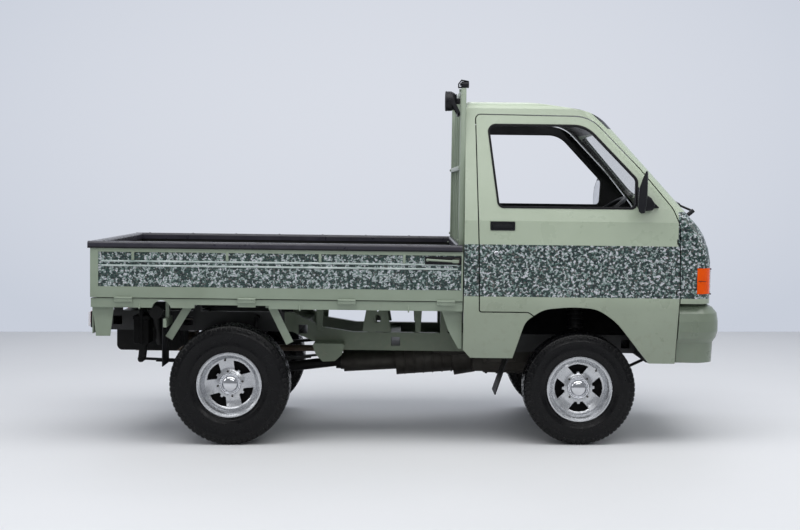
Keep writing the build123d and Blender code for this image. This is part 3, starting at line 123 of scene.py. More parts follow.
class Finish:
    """A material under construction, with short calls for the nodes it is built from."""

    def __init__(self, name):
        self.material = bpy.data.materials.new(name)
        self.material.use_nodes = True
        self.tree = self.material.node_tree
        self.shader = self.tree.nodes["Principled BSDF"]
        self.place = self.node("ShaderNodeTexCoord").outputs["Object"]

    def node(self, kind, inputs=None, **settings):
        """A node with its settings, and its inputs by name or number."""
        made = self.tree.nodes.new(kind)
        for key, value in settings.items():
            setattr(made, key, value)
        for key, value in (inputs or {}).items():
            self.put(made.inputs[key], value)
        return made

    def put(self, target, value):
        """An input given a plain value, or fed from another node."""
        if isinstance(value, (int, float, tuple)):
            target.default_value = value
        else:
            self.tree.links.new(value, target)

    def set(self, name, value):
        self.put(self.shader.inputs[name], value)

    def noise(self, scale, detail=3.0, rough=0.55, place=None):
        inputs = {"Scale": scale, "Detail": detail, "Roughness": rough, "Vector": place or self.place}
        return self.node("ShaderNodeTexNoise", inputs).outputs["Fac"]

    def ramp(self, value, *stops, step=False):
        """Grey levels or colours at positions along a value."""
        made = self.node("ShaderNodeValToRGB", {"Fac": value})
        band = made.color_ramp
        band.interpolation = "CONSTANT" if step else "LINEAR"
        while len(band.elements) < len(stops):
            band.elements.new(0.5)
        for element, (position, colour) in zip(band.elements, stops):
            element.position = position
            element.color = colour if isinstance(colour, tuple) else (colour, colour, colour, 1)
        return made.outputs["Color"]

    def maths(self, operation, first, second=0.0, third=0.0):
        inputs = {0: first, 1: second, 2: third}
        return self.node("ShaderNodeMath", inputs, operation=operation).outputs["Value"]

    def measure(self, name):
        """Level height, level length, distance from the middle line, or how far a face looks outward."""
        if name in DIRECTIONS:
            inputs = {0: self.place, 1: DIRECTIONS[name]}
            return self.node("ShaderNodeVectorMath", inputs, operation="DOT_PRODUCT").outputs["Value"]
        across = self.parts(self.place)["Y"]
        if name == "side":
            return self.maths("ABSOLUTE", across)
        normal = self.node("ShaderNodeTexCoord").outputs["Normal"]
        return self.maths("MULTIPLY", across, self.parts(normal)["Y"])

    def mix(self, share, first, second, blend="MIX"):
        inputs = {0: share, 6: first, 7: second}
        return self.node("ShaderNodeMix", inputs, data_type="RGBA", blend_type=blend).outputs[2]

    def mask(self, boxes):
        """1 inside any of the boxes, each given by the limits of its measures."""
        inside = 0.0
        for box in boxes:
            share = 1.0
            for name, (low, high) in box.items():
                value = self.measure(name)
                share = self.maths("MULTIPLY", share, self.maths("GREATER_THAN", value, low))
                share = self.maths("MULTIPLY", share, self.maths("LESS_THAN", value, high))
            inside = self.maths("MAXIMUM", inside, share)
        return inside

    def parts(self, vector):
        """The X, Y and Z of a vector."""
        return self.node("ShaderNodeSeparateXYZ", {0: vector}).outputs

    def bump(self, height, strength):
        inputs = {"Strength": strength, "Distance": BUMP_DEPTH, "Height": height}
        self.set("Normal", self.node("ShaderNodeBump", inputs).outputs["Normal"])


def two_tones(finish, colour, darker, scale, spread=0.5):
    """The colour with soft uneven patches of a darker tone."""
    patches = finish.noise(scale, 4.0, 0.6)
    return finish.ramp(patches, (0.5 - spread / 2, darker), (0.5 + spread / 2, colour))


def camouflage(finish):
    """Small blots of six tones, printed unevenly."""
    warp = finish.node("ShaderNodeTexNoise", {"Scale": 90.0, "Detail": 1.0, "Vector": finish.place})
    inputs = {0: warp.outputs["Color"], 1: (0.012, 0.012, 0.012), 2: finish.place}
    shift = finish.node("ShaderNodeVectorMath", inputs, operation="MULTIPLY_ADD")
    stretch = finish.node("ShaderNodeMapping", {"Scale": (1.0, 1.0, 1.3), "Vector": finish.place})
    blots = finish.noise(62.0, 1.5, 0.55, shift.outputs["Vector"])
    tones = finish.noise(88.0, 1.0, 0.5, stretch.outputs["Vector"])
    dark_tones = (0.0, linear(24, 34, 38)), (0.47, linear(36, 66, 60)), (0.60, linear(84, 80, 78))
    pale_tones = (0.0, linear(96, 118, 112)), (0.46, linear(150, 160, 160)), (0.58, linear(196, 196, 204))
    dark = finish.ramp(tones, *dark_tones, step=True)
    pale = finish.ramp(tones, *pale_tones, step=True)
    return finish.mix(finish.ramp(blots, (0.515, 0.0), (0.53, 1.0)), dark, pale)


def body_paint(name, colour, darker, camo, roughness, liner_and_shade, shade_by_height):
    """Green enamel, dusty lower down, with camouflage, painted shade darker lower down, and dark liners and
    painted shade on the faces the masks say.

    shade_by_height are pairs of height in metres and the level of the painted shade there.
    """
    finish = Finish(name)
    tone = two_tones(finish, linear(*colour), linear(*darker), 2.2, 0.7)
    # Painted shade: the colour darkened lower down, where less light falls
    stops = [(at / PAINT_TOP, level) for at, level in shade_by_height]
    height_shade = finish.ramp(finish.maths("MULTIPLY", finish.measure("height"), 1 / PAINT_TOP), *stops)
    tone = finish.mix(1.0, tone, height_shade, "MULTIPLY")
    dust = finish.ramp(finish.noise(26.0, 6.0, 0.7), (0.52, 0.0), (0.8, 1.0))
    low = finish.ramp(finish.measure("height"), (0.42, 0.55), (0.85, 0.0))
    tone = finish.mix(finish.maths("MULTIPLY", dust, low), tone, linear(112, 112, 96))
    if camo:
        tone = finish.mix(finish.mask(camo), tone, camouflage(finish))
    # Near black: dark liners in the bed, and painted shade in the wheel houses, inside the cab and on the
    # frame's ends
    if liner_and_shade:
        tone = finish.mix(finish.mask(liner_and_shade), tone, linear(24, 25, 26))
    finish.set("Base Color", tone)
    gloss = finish.ramp(finish.noise(9.0, 5.0), (0.35, roughness - 0.06), (0.7, roughness + 0.14))
    finish.set("Roughness", gloss)
    finish.set("Coat Weight", 0.25)
    finish.set("Coat Roughness", 0.18)
    peel = finish.noise(160.0, 2.0)
    dents = finish.noise(3.2, 2.0)
    finish.bump(finish.maths("MULTIPLY_ADD", dents, 6.0, peel), 0.10)
    return finish.material


def plain(name, colour, darker, roughness, metallic, grain, depth, shine, coat=0.0, patch=8, spread=0.12):
    """One colour with patches, a varied gloss and a fine grain."""
    finish = Finish(name)
    finish.set("Base Color", two_tones(finish, linear(*colour), linear(*darker), patch, 0.6))
    finish.set("Metallic", metallic)
    finish.set("Specular IOR Level", shine)
    smooth, rough = max(0.02, roughness - spread), roughness + spread
    finish.set("Roughness", finish.ramp(finish.noise(patch * 3.1, 5.0), (0.3, smooth), (0.7, rough)))
    if coat:
        finish.set("Coat Weight", coat)
        finish.set("Coat Roughness", 0.12)
    finish.bump(finish.noise(grain, 3.0), depth)
    return finish.material


def clear(name, colour, alpha):
    """Thin glass: mostly see-through, with its own reflection and a faint smear."""
    finish = Finish(name)
    finish.set("Roughness", finish.ramp(finish.noise(5.0, 5.0), (0.4, 0.02), (0.75, 0.09)))
    finish.set("Base Color", linear(*colour))
    finish.set("Alpha", alpha)
    finish.set("IOR", 1.5)
    finish.set("Specular IOR Level", 0.8)
    return finish.material


# Masks: boxes by the limits of their measures, in metres of the truck's own level frame

FAR = 9.0
PRINTED = (0.806, 0.984)
# The belt band, running up over the nose ahead of the doors
CAB_BAND = ({"height": (0.777, 1.0445)}, {"height": (0.777, 1.222), "length": (1.382, FAR)})
GATE_BAND = ({"length": (-1.588, 0.274), "height": PRINTED},)
TAIL_BAND = ({"height": PRINTED},)
# Painted shade in the wheel houses and on the floor's underside, the headlining, and the doors' inner faces
CAB_INSIDE_SHADE = (
    {"height": (-FAR, 0.747), "side": (-FAR, 0.646), "length": (-FAR, 1.30)},
    {"height": (1.645, 1.752), "side": (-FAR, 0.600), "length": (0.33, 1.08)},
    {"side": (0.38, FAR), "outward": (-FAR, -0.05)},
)
# The gates' boards towards the bed, the bed's floor mat and headboard
GATE_INSIDE = ({"side": (-FAR, 0.688)},)
TAIL_INSIDE = ({"length": (-1.614, FAR)},)
BED_INSIDE = ({"height": (0.756, FAR), "side": (-FAR, 0.668)},)
# Painted shade on the frame's ends, over the rear axle and under the cab
FRAME_ENDS_SHADE = ({"length": (-FAR, -0.66)}, {"length": (0.43, FAR)})

# Painted shade: the paint's level at heights in metres, darker lower down where less light falls
LOWER_SHADE_BY_HEIGHT = ((0.4, 0.84), (1.0, 1.0))
CAB_SHADE_BY_HEIGHT = ((0.44, 0.58), (0.72, 0.72), (0.80, 0.86), (1.05, 1.0))
BED_GREENS = ((148, 161, 144), (126, 138, 120))
# Name, colour, darker tone, camouflage, roughness, dark liners and painted shade, painted shade by height
PAINTS = (
    ("cab_paint", (176, 188, 168), (160, 172, 151), CAB_BAND, 0.32, CAB_INSIDE_SHADE, CAB_SHADE_BY_HEIGHT),
    ("sill_paint", (128, 140, 124), (110, 121, 104), None, 0.32, None, LOWER_SHADE_BY_HEIGHT),
    ("bed_paint", *BED_GREENS, None, 0.42, BED_INSIDE, LOWER_SHADE_BY_HEIGHT),
    ("frame_paint", (120, 132, 112), (78, 90, 72), None, 0.5, FRAME_ENDS_SHADE, LOWER_SHADE_BY_HEIGHT),
    ("guard_paint", *BED_GREENS, None, 0.4, None, LOWER_SHADE_BY_HEIGHT),
    ("gate_paint", *BED_GREENS, GATE_BAND, 0.38, GATE_INSIDE, LOWER_SHADE_BY_HEIGHT),
    ("tailgate_paint", *BED_GREENS, TAIL_BAND, 0.38, TAIL_INSIDE, LOWER_SHADE_BY_HEIGHT),
)
# Name, colour, darker tone, roughness, metallic, grain, grain depth, shine, and coat, patch size, spread
PLAINS = (
    ("tyre_rubber", (10, 10, 12), (5, 5, 7), 0.30, 0.0, 520, 0.1, 0.22),
    ("alloy", (206, 208, 211), (178, 180, 184), 0.26, 0.82, 900, 0.02, 0.5, 0.25, 9, 0.05),
    ("chrome", (225, 226, 230), (190, 192, 196), 0.07, 1.0, 900, 0.02, 0.5, 0.0, 20, 0.03),
    ("black_plastic", (22, 23, 29), (13, 14, 18), 0.42, 0.0, 900, 0.15, 0.28),
    ("rubber", (18, 18, 22), (11, 11, 14), 0.5, 0.0, 600, 0.15, 0.25),
    ("cap_rubber", (48, 46, 58), (30, 29, 38), 0.36, 0.0, 240, 0.15, 0.5, 0.2),
    ("chassis_black", (16, 16, 16), (9, 9, 9), 0.55, 0.0, 400, 0.3, 0.2),
    ("iron", (70, 68, 64), (44, 40, 36), 0.55, 0.7, 260, 0.4, 0.5),
    ("steel", (150, 148, 142), (104, 98, 90), 0.35, 0.9, 500, 0.15, 0.5),
    ("exhaust_steel", (128, 116, 104), (84, 66, 52), 0.5, 0.8, 300, 0.3, 0.5),
    ("trim_grey", (62, 64, 68), (50, 52, 56), 0.55, 0.0, 800, 0.3, 0.5),
    ("seat_cloth", (44, 46, 52), (30, 32, 38), 0.9, 0.0, 1500, 0.5, 0.5),
    ("orange_lens", (240, 92, 8), (220, 70, 4), 0.2, 0.0, 300, 0.15, 0.2),
    ("red_lens", (178, 20, 18), (140, 12, 12), 0.2, 0.0, 300, 0.15, 0.25),
    ("underbody", (8, 8, 9), (5, 5, 5), 0.75, 0.0, 300, 0.4, 0.12),
    # Pale bead paint, brightened further as a painted highlight
    ("bead_paint_and_highlight", (205, 214, 212), (120, 140, 134), 0.16, 0.0, 260, 0.15, 0.5, 0.5, 9),
)
GLASSES = (("glass", (214, 228, 224), 0.16), ("lamp_glass", (235, 240, 242), 0.35))
finishes = {row[0]: body_paint(*row) for row in PAINTS}
finishes.update({row[0]: plain(*row) for row in PLAINS})
finishes.update({row[0]: clear(*row) for row in GLASSES})


def dress(piece, finish):
    """One finish on a whole piece."""
    piece.data.materials.clear()
    piece.data.materials.append(finishes[finish])


NODE_FINISHES = {
    "cab_paint": "cab_shell door_right door_left",
    "sill_paint": "bumper_front",
    "bed_paint": "bed_deck",
    "guard_paint": "guard_frame",
    "frame_paint": "chassis_frame",
    "gate_paint": "gate_right gate_left",
    "tailgate_paint": "tailgate",
    "cap_rubber": "cap_right cap_left cap_rear cap_front",
    "black_plastic": "handle_right handle_left mirror_right mirror_left wipers work_lamp steering_column "
                     "steering_wheel gear_lever grille",
    "chassis_black": "fuel_tank front_suspension prop_shaft leaf_springs rear_dampers front_struts",
    "iron": "power_unit rear_axle knuckle_right knuckle_left",
    "exhaust_steel": "exhaust",
    "rubber": "mudflaps",
    "trim_grey": "dashboard",
    "seat_cloth": "seat_cushions seat_backs",
    "orange_lens": "turn_lamps",
    "red_lens": "tail_lamps",
    "glass": "windscreen rear_window",
    "lamp_glass": "headlamps",
    "tyre_rubber": "tyre_front_right tyre_front_left tyre_rear_right tyre_rear_left",
    "alloy": "rim_front_right rim_front_left rim_rear_right rim_rear_left",
}
for finish_name, node_names in NODE_FINISHES.items():
    for node_name in node_names.split():
        dress(solids[node_name], finish_name)

# Floor and backdrop


def floor_finish():
    """A pale floor with faint unevenness."""
    finish = Finish("floor_tone")
    pale = linear(219, 220, 222)
    finish.set("Base Color", two_tones(finish, pale, (*(0.96 * share for share in pale[:3]), 1.0), 0.5))
    finish.set("Roughness", 0.6)
    return finish.material


def backdrop_finish():
    """A wall with its own even glow, paler in the middle, and seen through from behind."""
    finish = Finish("backdrop_tone")
    place = finish.parts(finish.place)
    across = finish.maths("MULTIPLY", place["X"], GLOW_ACROSS)
    up = finish.maths("MULTIPLY", finish.maths("SUBTRACT", place["Z"], GLOW_HEIGHT), GLOW_UP)
    reach = finish.maths("ADD", finish.maths("MULTIPLY", across, across), finish.maths("MULTIPLY", up, up))
    glow = finish.ramp(reach, (0.0, linear(217, 221, 230)), (0.7, linear(200, 206, 218)))
    finish.set("Emission Color", glow)
    finish.set("Emission Strength", 1.0)
    finish.set("Base Color", (0, 0, 0, 1))
    finish.set("Roughness", 0.6)
    finish.set("Specular IOR Level", 0.0)
    facing = finish.node("ShaderNodeNewGeometry")
    finish.set("Alpha", finish.maths("SUBTRACT", 1.0, facing.outputs["Backfacing"]))
    return finish.material


def stage_plane(name, place, turn, size, material):
    """A flat floor or wall, which isn't part of the truck."""
    bpy.ops.object.select_all(action="DESELECT")
    bpy.ops.mesh.primitive_plane_add(size=1, location=place, rotation=turn)
    plane = bpy.context.object
    plane.name = name
    plane.scale = (*size, 1)
    bpy.ops.object.transform_apply(location=True, rotation=True, scale=True)
    plane.data.materials.append(material)


BACKDROP_Y = 5.2
GLOW_ACROSS, GLOW_UP, GLOW_HEIGHT = 0.17, 0.34, 2.0
stage_plane("floor", (0, 0, 0), (0, 0, 0), (40, 40), floor_finish())
stage_plane("backdrop", (0, BACKDROP_Y, 0), (radians(90), 0, 0), (60, 30), backdrop_finish())

# Modelling helpers, in millimetres of the level frame


def fresh():
    """Object mode with nothing selected."""
    if bpy.context.object and bpy.context.object.mode != "OBJECT":
        bpy.ops.object.mode_set(mode="OBJECT")
    bpy.ops.object.select_all(action="DESELECT")


def active(piece):
    """The one selected and active object."""
    fresh()
    piece.select_set(True)
    bpy.context.view_layer.objects.active = piece


def named(name):
    """The active object, and its mesh, under a name."""
    piece = bpy.context.object
    piece.name = name
    piece.data.name = name
    return piece


def modify(piece, kind, **settings):
    """A modifier added and applied."""
    active(piece)
    modifier = piece.modifiers.new(kind.lower(), kind)
    for key, value in settings.items():
        setattr(modifier, key, value)
    bpy.ops.object.modifier_apply(modifier=modifier.name)


def bevel(piece, width, segments=2, angle=30):
    """Rounded edges where faces meet at more than an angle."""
    modify(piece, "BEVEL", width=width, segments=segments, limit_method="ANGLE", angle_limit=radians(angle))
    return piece


def block(name, low_corner, high_corner, edge=0.0, segments=2):
    """A box between two corners with rounded edges."""
    fresh()
    middle = [(a + b) / 2 for a, b in zip(low_corner, high_corner)]
    bpy.ops.mesh.primitive_cube_add(size=1, location=middle)
    piece = named(name)
    piece.scale = [b - a for a, b in zip(low_corner, high_corner)]
    bpy.ops.object.transform_apply(location=True, rotation=False, scale=True)
    return bevel(piece, edge, segments) if edge else piece


def drum(name, start, end, radius, edge=0.0, sides=32, end_radius=None):
    """A round bar between two points, or a taper."""
    fresh()
    a, b = Vector(start), Vector(end)
    far_radius = end_radius or radius
    bpy.ops.mesh.primitive_cone_add(vertices=sides, radius1=radius, radius2=far_radius, depth=(b - a).length)
    piece = named(name)
    turn = (b - a).to_track_quat("Z", "Y").to_matrix().to_4x4()
    piece.data.transform(Matrix.Translation((a + b) / 2) @ turn)
    return bevel(piece, edge, 2, 40) if edge else piece


def ring_of(name, points, filled):
    """A closed outline through points, with or without its face."""
    fresh()
    bpy.ops.mesh.primitive_circle_add(vertices=len(points), fill_type="NGON" if filled else "NOTHING")
    piece = named(name)
    for vertex, point in zip(piece.data.vertices, points):
        vertex.co = point
    return piece


def edited(piece, *steps):
    """Editing steps, each on the whole piece, with its faces then turned outward."""
    active(piece)
    bpy.ops.object.mode_set(mode="EDIT")
    for step, settings in (*steps, (bpy.ops.mesh.normals_make_consistent, {"inside": False})):
        bpy.ops.mesh.select_all(action="SELECT")
        step(**settings)
    bpy.ops.object.mode_set(mode="OBJECT")
    return piece


def extruded(piece, reach):
    """A flat face drawn out into a solid."""
    edited(piece, (bpy.ops.mesh.extrude_region_move, {"TRANSFORM_OT_translate": {"value": reach}}))


def prism(name, points, y_low, y_high, edge=0.0, segments=2, corner=0.0):
    """An outline seen from the side, with rounded corners, filled between two distances from the middle."""
    piece = ring_of(name, [(x, y_low, z) for x, z in points], True)
    if corner:
        modify(piece, "BEVEL", affect="VERTICES", width=corner, segments=5)
    extruded(piece, (0, y_high - y_low, 0))
    return bevel(piece, edge, segments) if edge else piece


def lathe(name, profile, centre=(0, 0, 0), steps=64, axis=(0, 1, 0)):
    """A closed section of (radius, along) points turned about an axis through the centre."""
    along = Vector(axis)
    out = Vector((1, 0, 0)) if abs(along.x) < 0.9 else Vector((0, 0, 1))
    middle = Vector(centre)
    piece = ring_of(name, [middle + out * max(r, 0.01) + along * a for r, a in profile], False)
    spin = {"steps": steps, "angle": 2 * pi, "center": centre, "axis": axis}
    return edited(piece, (bpy.ops.mesh.spin, spin), (bpy.ops.mesh.remove_doubles, {"threshold": 0.02}))


def cut(piece, cutter):
    """One piece cut out of another."""
    modify(piece, "BOOLEAN", operation="DIFFERENCE", solver="EXACT", object=cutter)
    bpy.data.objects.remove(cutter)
    return piece


def moved(piece, matrix, name):
    """A copy with its own mesh, moved or mirrored."""
    other = piece.copy()
    other.data = piece.data.copy()
    other.name = name
    other.data.name = name
    bpy.context.scene.collection.objects.link(other)
    other.data.transform(matrix)
    if matrix.determinant() < 0:
        other.data.flip_normals()
    return other


def joined(name, pieces):
    """Several pieces as one."""
    fresh()
    for piece in pieces:
        piece.select_set(True)
    bpy.context.view_layer.objects.active = pieces[0]
    if len(pieces) > 1:
        bpy.ops.object.join()
    return named(name)


def turned_copies(piece, count):
    """A piece repeated evenly round the wheel's axis, as one piece."""
    copies = [piece]
    for k in range(1, count):
        spin = Matrix.Rotation(2 * pi * k / count, 4, "Y")
        copies.append(moved(piece, spin, f"{piece.name}_{k}"))
    return joined(piece.name, copies)


MIRROR = Matrix.Scale(-1, 4, (0, 1, 0))


def done(piece, body, finish, replaced=(), angle=35):
    """A piece turned to the truck's stance, in metres, with its finish and body, and the solids it stands for
    hidden.
    """
    active(piece)
    piece.data.transform(stance @ Matrix.Scale(0.001, 4))
    bpy.ops.object.shade_smooth_by_angle(angle=radians(angle))
    dress(piece, finish)
    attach(piece, body)
    if replaced:
        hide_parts(*replaced)
    return piece


def both(piece, body, finish, replaced=(), angle=35):
    """A right-hand piece and its mirrored twin; {} stands for the side in names."""
    name = piece.name
    twin = moved(piece, MIRROR, name + "_left")
    piece.name = name + "_right"
    for item, side in ((piece, "right"), (twin, "left")):
        done(item, body.format(side), finish, [node.format(side) for node in replaced], angle)
    return piece, twin


# Tyres and rims, made about the wheel's middle with the outer face towards +Y

TREAD_PITCHES, GROOVE, LUG_ROOT = 34, 7, 4
STUB, BRAKE_DRUM_R = 30.3, 134
WINDOWS, WINDOW_SPREAD = 4, 26
WINDOW_LOW, WINDOW_HIGH, WINDOW_NOTCH = 74.0, 122.0, 84.0
FLUTES, NUTS = 12, 4


def tread_lugs(radius):
    """The inner lugs of one pitch, in two rows on each side of the middle."""
    width = 2 * pi * radius / TREAD_PITCHES
    base = radius - GROOVE
    lugs = []
    # Inner edge, outer edge, shift and half length in pitches
    rows = ((-2, 22, 0.0, 0.40), (26, 50, 0.5, 0.36))
    for row, (y_low, y_high, shift, share) in enumerate(rows):
        for side in (-1, 1):
            turn = 2 * pi / TREAD_PITCHES * (shift if side > 0 else shift + 0.25)
            low_y, high_y = sorted((side * (y_low + 4), side * (y_high + 4)))
            lug = block(f"lug_{row}_{side}", (-share * width, low_y, base - LUG_ROOT),
                        (share * width, high_y, radius - 1.6), 2.2, 1)
            lug.data.transform(Matrix.Rotation(turn, 4, "Y"))
            lugs.append(lug)
    return lugs


def shoulder_lug(radius, side, turn, share, drop):
    """A lug that wraps over the shoulder and down the sidewall."""
    width = 2 * pi * radius / TREAD_PITCHES
    low_end = radius - 36
    section = [
        (57, radius - GROOVE - LUG_ROOT), (57, radius - 1.2), (78, radius - 2.5), (88, radius - 9),
        (94, radius - 24), (96.5, radius - 40), (92, radius - 44), (84, radius - 24),
    ]
    outline = [(y - 2, z + drop) if z < low_end else (y, z) for y, z in section]
    piece = ring_of("shoulder", [(-share * width, side * y, z) for y, z in outline], True)
    extruded(piece, (2 * share * width, 0, 0))
    bevel(piece, 1.8, 1)
    piece.data.transform(Matrix.Rotation(turn, 4, "Y"))
    return piece


def tyre_tread(radius):
    """The lugs of one pitch, repeated round the carcass."""
    lugs = tread_lugs(radius)
    for side in (-1, 1):
        for turn, drop in ((0.0, 0), (pi / TREAD_PITCHES, 14)):
            lugs.append(shoulder_lug(radius, side, turn, 0.19, drop))
    return turned_copies(joined("tread", lugs), TREAD_PITCHES)


def tyre(name, radius):
    """Carcass with bulged sidewalls and rings, and the lugs."""
    # Radius and distance from the middle, from the bead out to the crown
    half = [
        (153.4, 79), (169.5, 81.5), (173, 88), (179, 90.5), (183, 90.5), (186, 93), (200, 95.4), (203, 97.2),
        (207, 97.2), (210, 96.4), (226, 97.6), (radius - 52, 96.4), (radius - 46, 97.6), (radius - 42, 97.4),
        (radius - 36, 94.5), (radius - 19, 90), (radius - 8, 80), (radius - 6, 52), (radius - 6, 0),
    ]
    other = [(r, -y) for r, y in half[-2::-1]]
    inner = [(160, -70), (radius - 26, -74), (radius - 26, 74), (160, 70)]
    carcass = lathe(name, half + other + inner, steps=96)
    return joined(name, [carcass, tyre_tread(radius)])


def rim_window(middle):
    """The cutter for one window, with the notch at its inner edge."""
    spread = radians(WINDOW_SPREAD)
    # Radius, share of the spread
    corners = (
        (WINDOW_LOW, -0.62), (WINDOW_HIGH, -1.0), (WINDOW_HIGH + 2, -0.5), (WINDOW_HIGH + 3, 0),
        (WINDOW_HIGH + 2, 0.5), (WINDOW_HIGH, 1.0), (WINDOW_LOW, 0.62), (WINDOW_LOW, 0.24),
        (WINDOW_NOTCH, 0.16), (WINDOW_NOTCH, -0.16), (WINDOW_LOW, -0.24),
    )
    angles = [(r, middle + share * spread) for r, share in corners]
    return prism("window", [(r * cos(angle), r * sin(angle)) for r, angle in angles], 0, 60)


def rim(name, first_angle):
    """Polished lip and barrel, and a dished disc with its windows."""
    barrel = lathe(name, [
        (152.7, -82), (168.6, -82), (168.6, -87), (165, -88), (149, -86), (146, -80), (143, -40), (140, 20),
        (134, 26), (139, 34), (147, 52), (151, 74), (155, 84), (162, 88), (168.6, 87), (168.6, 82),
        (152.7, 81), (150, 60), (145, 34), (147, 0),
    ], steps=96)
    disc = lathe(name + "_disc", [
        (STUB, 8), (60, 8), (140, 24), (143, 30), (141, 37), (132, 40), (126, 37), (118, 31), (86, 27),
        (70, 29), (62, 34), (56, 36), (STUB, 36),
    ], steps=96)
    for k in range(WINDOWS):
        cut(disc, rim_window(radians(first_angle + 360 / WINDOWS * k)))
    bevel(disc, 1.2, 2, 40)
    return joined(name, [barrel, disc])


def hub_cap(name):
    """A domed cap with a fluted ring."""
    dome = lathe(name, [
        (0, 34), (58, 34), (58, 38), (55, 41), (50, 41), (47, 37), (43, 37), (43, 41), (36, 50), (24, 55),
        (0, 56.5),
    ], steps=48)
    flutes = turned_copies(drum("flute", (51, 36, 0), (51, 43.5, 0), 5.0, 1.0, 12), FLUTES)
    return joined(name, [dome, flutes])


def nuts_and_valve(name, first_angle):
    """Four nuts and the valve stem, halfway between windows."""
    halfway = Matrix.Rotation(radians(-first_angle - 45), 4, "Y")
    stem = joined("stem", [
        drum("stem_a", (134, 30, 0), (128, 52, 0), 4.2, 0.8, 16),
        drum("stem_b", (128, 50, 0), (126.6, 57, 0), 5.2, 1.0, 16),
    ])
    stem.data.transform(halfway)
    nuts = turned_copies(drum("nut", (66, 30, 0), (66, 38, 0), 5.5, 1.0, 6), NUTS)
    nuts.data.transform(halfway)
    return joined(name, [stem, nuts])


def brake_drum(name, inner):
    """The dark drum seen through the rim's windows."""
    return lathe(name, [
        (STUB, inner), (BRAKE_DRUM_R - 2, inner), (BRAKE_DRUM_R, inner + 3), (BRAKE_DRUM_R, 6), (130, 12),
        (120, 13), (96, 5), (STUB, 2),
    ], steps=64)


# End of the truck, hub's place, tyre's radius, angle of the first window, drum's inner face
WHEEL_ENDS = (
    ("rear", REAR_HUB_X, REAR_TYRE_R, 56.0, -36),
    ("front", FRONT_HUB_X, FRONT_TYRE_R, 2.0, -4),
)
for end, hub_x, radius, first_angle, inner in WHEEL_ENDS:
    groups = (
        (tyre(f"tyre_dressed_{end}", radius), "tyre_rubber", "tyre", ("tyre",)),
        (rim(f"rim_dressed_{end}", first_angle), "alloy", "rim_metal", ("rim",)),
        (hub_cap(f"hub_cap_{end}"), "chrome", "rim_metal", ()),
        (nuts_and_valve(f"wheel_nuts_{end}", first_angle), "iron", "rim_metal", ()),
        (brake_drum(f"rim_dressed_{end}_drum", inner), "underbody", "chassis_black", ()),
    )
    for piece, finish_name, slot, nodes in groups:
        at_right = Matrix.Translation((hub_x, -TYRE_CENTRE_Y, HUB_Z)) @ MIRROR
        at_left = Matrix.Translation((hub_x, TYRE_CENTRE_Y, HUB_Z))
        right = moved(piece, at_right, piece.name + "_right")
        left = moved(piece, at_left, piece.name + "_left")
        bpy.data.objects.remove(piece)
        for item, side in ((right, "right"), (left, "left")):
            replaced = [f"{node}_{end}_{side}" for node in nodes]
            done(item, f"wheel_{end}_{side}", finish_name, replaced, 32)

# Small makers for rows of a table


def blocks(*rows):
    """One block for each row of name, low corner, high corner, edge and segments."""
    return [block(*row) for row in rows]


def drums(*rows):
    """One round bar for each row of name, start, end, radius, edge, sides and end radius."""
    return [drum(*row) for row in rows]


# Guard frame behind the rear window

GUARD_HALF = 645
POST_WIDTH = 40
POST = [(258, 1002.6), (288, 1002.6), (289, 1843), (262, 1843)]
ROD_PLACES = (-360, -120, 120, 360)
NUT_HEIGHTS = (1060, 1436, 1832)

guard = [prism("post", POST, y, y + POST_WIDTH, 4) for y in (-GUARD_HALF, GUARD_HALF - POST_WIDTH)]
guard += blocks(
    ("top_bar", (263, -641, 1818), (287, 641, 1843), 4),
    ("low_bar", (258, -641, 1424), (276, 641, 1448), 4),
    ("foot_right", (244, -646, 1002.4), (286, -604, 1008), 2),
    ("foot_left", (244, 604, 1002.4), (286, 646, 1008), 2),
)
guard += [drum("rod", (270, y, 1038.4), (274, y, 1822), 6, 0, 20) for y in ROD_PLACES]
guard += [drum("nut", (252, y, z), (262, y, z), 7, 1.5, 6) for y in (-625, 625) for z in NUT_HEIGHTS]
done(joined("guard_dressed", guard), "truck", "guard_paint", ("guard_frame",))

# Work lamp in its yoke on the right post, and the small flood lamp on the post's top

FORWARD = (1, 0, 0)
LAMP_MIDDLE = (0, -590, 1778)
# Sections of the lamp: radius, place along the truck
LAMP_HOUSING = [
    (44, 184), (48, 182), (51, 183), (52, 188), (50, 193), (51, 197), (50, 214), (42, 230), (30, 240),
    (0, 243), (0, 236), (26, 234), (40, 222), (45, 200), (45, 186),
]
LAMP_REFLECTOR = [(0, 214), (18, 211), (34, 200), (43.5, 188), (44.6, 188), (35, 203), (18, 215), (0, 218)]
LAMP_PANE = [(0, 184.5), (24, 185.4), (43.8, 188), (43.8, 190), (24, 187.6), (0, 186.7)]
YOKE_EAR = [(196, 1766), (214, 1762), (250, 1700), (260, 1716), (222, 1790), (198, 1792)]
FLOOD_STRAP = [
    (246, 1844), (246, 1866), (262, 1887), (300, 1880), (300, 1875), (265, 1881), (252, 1864), (252, 1844),
]

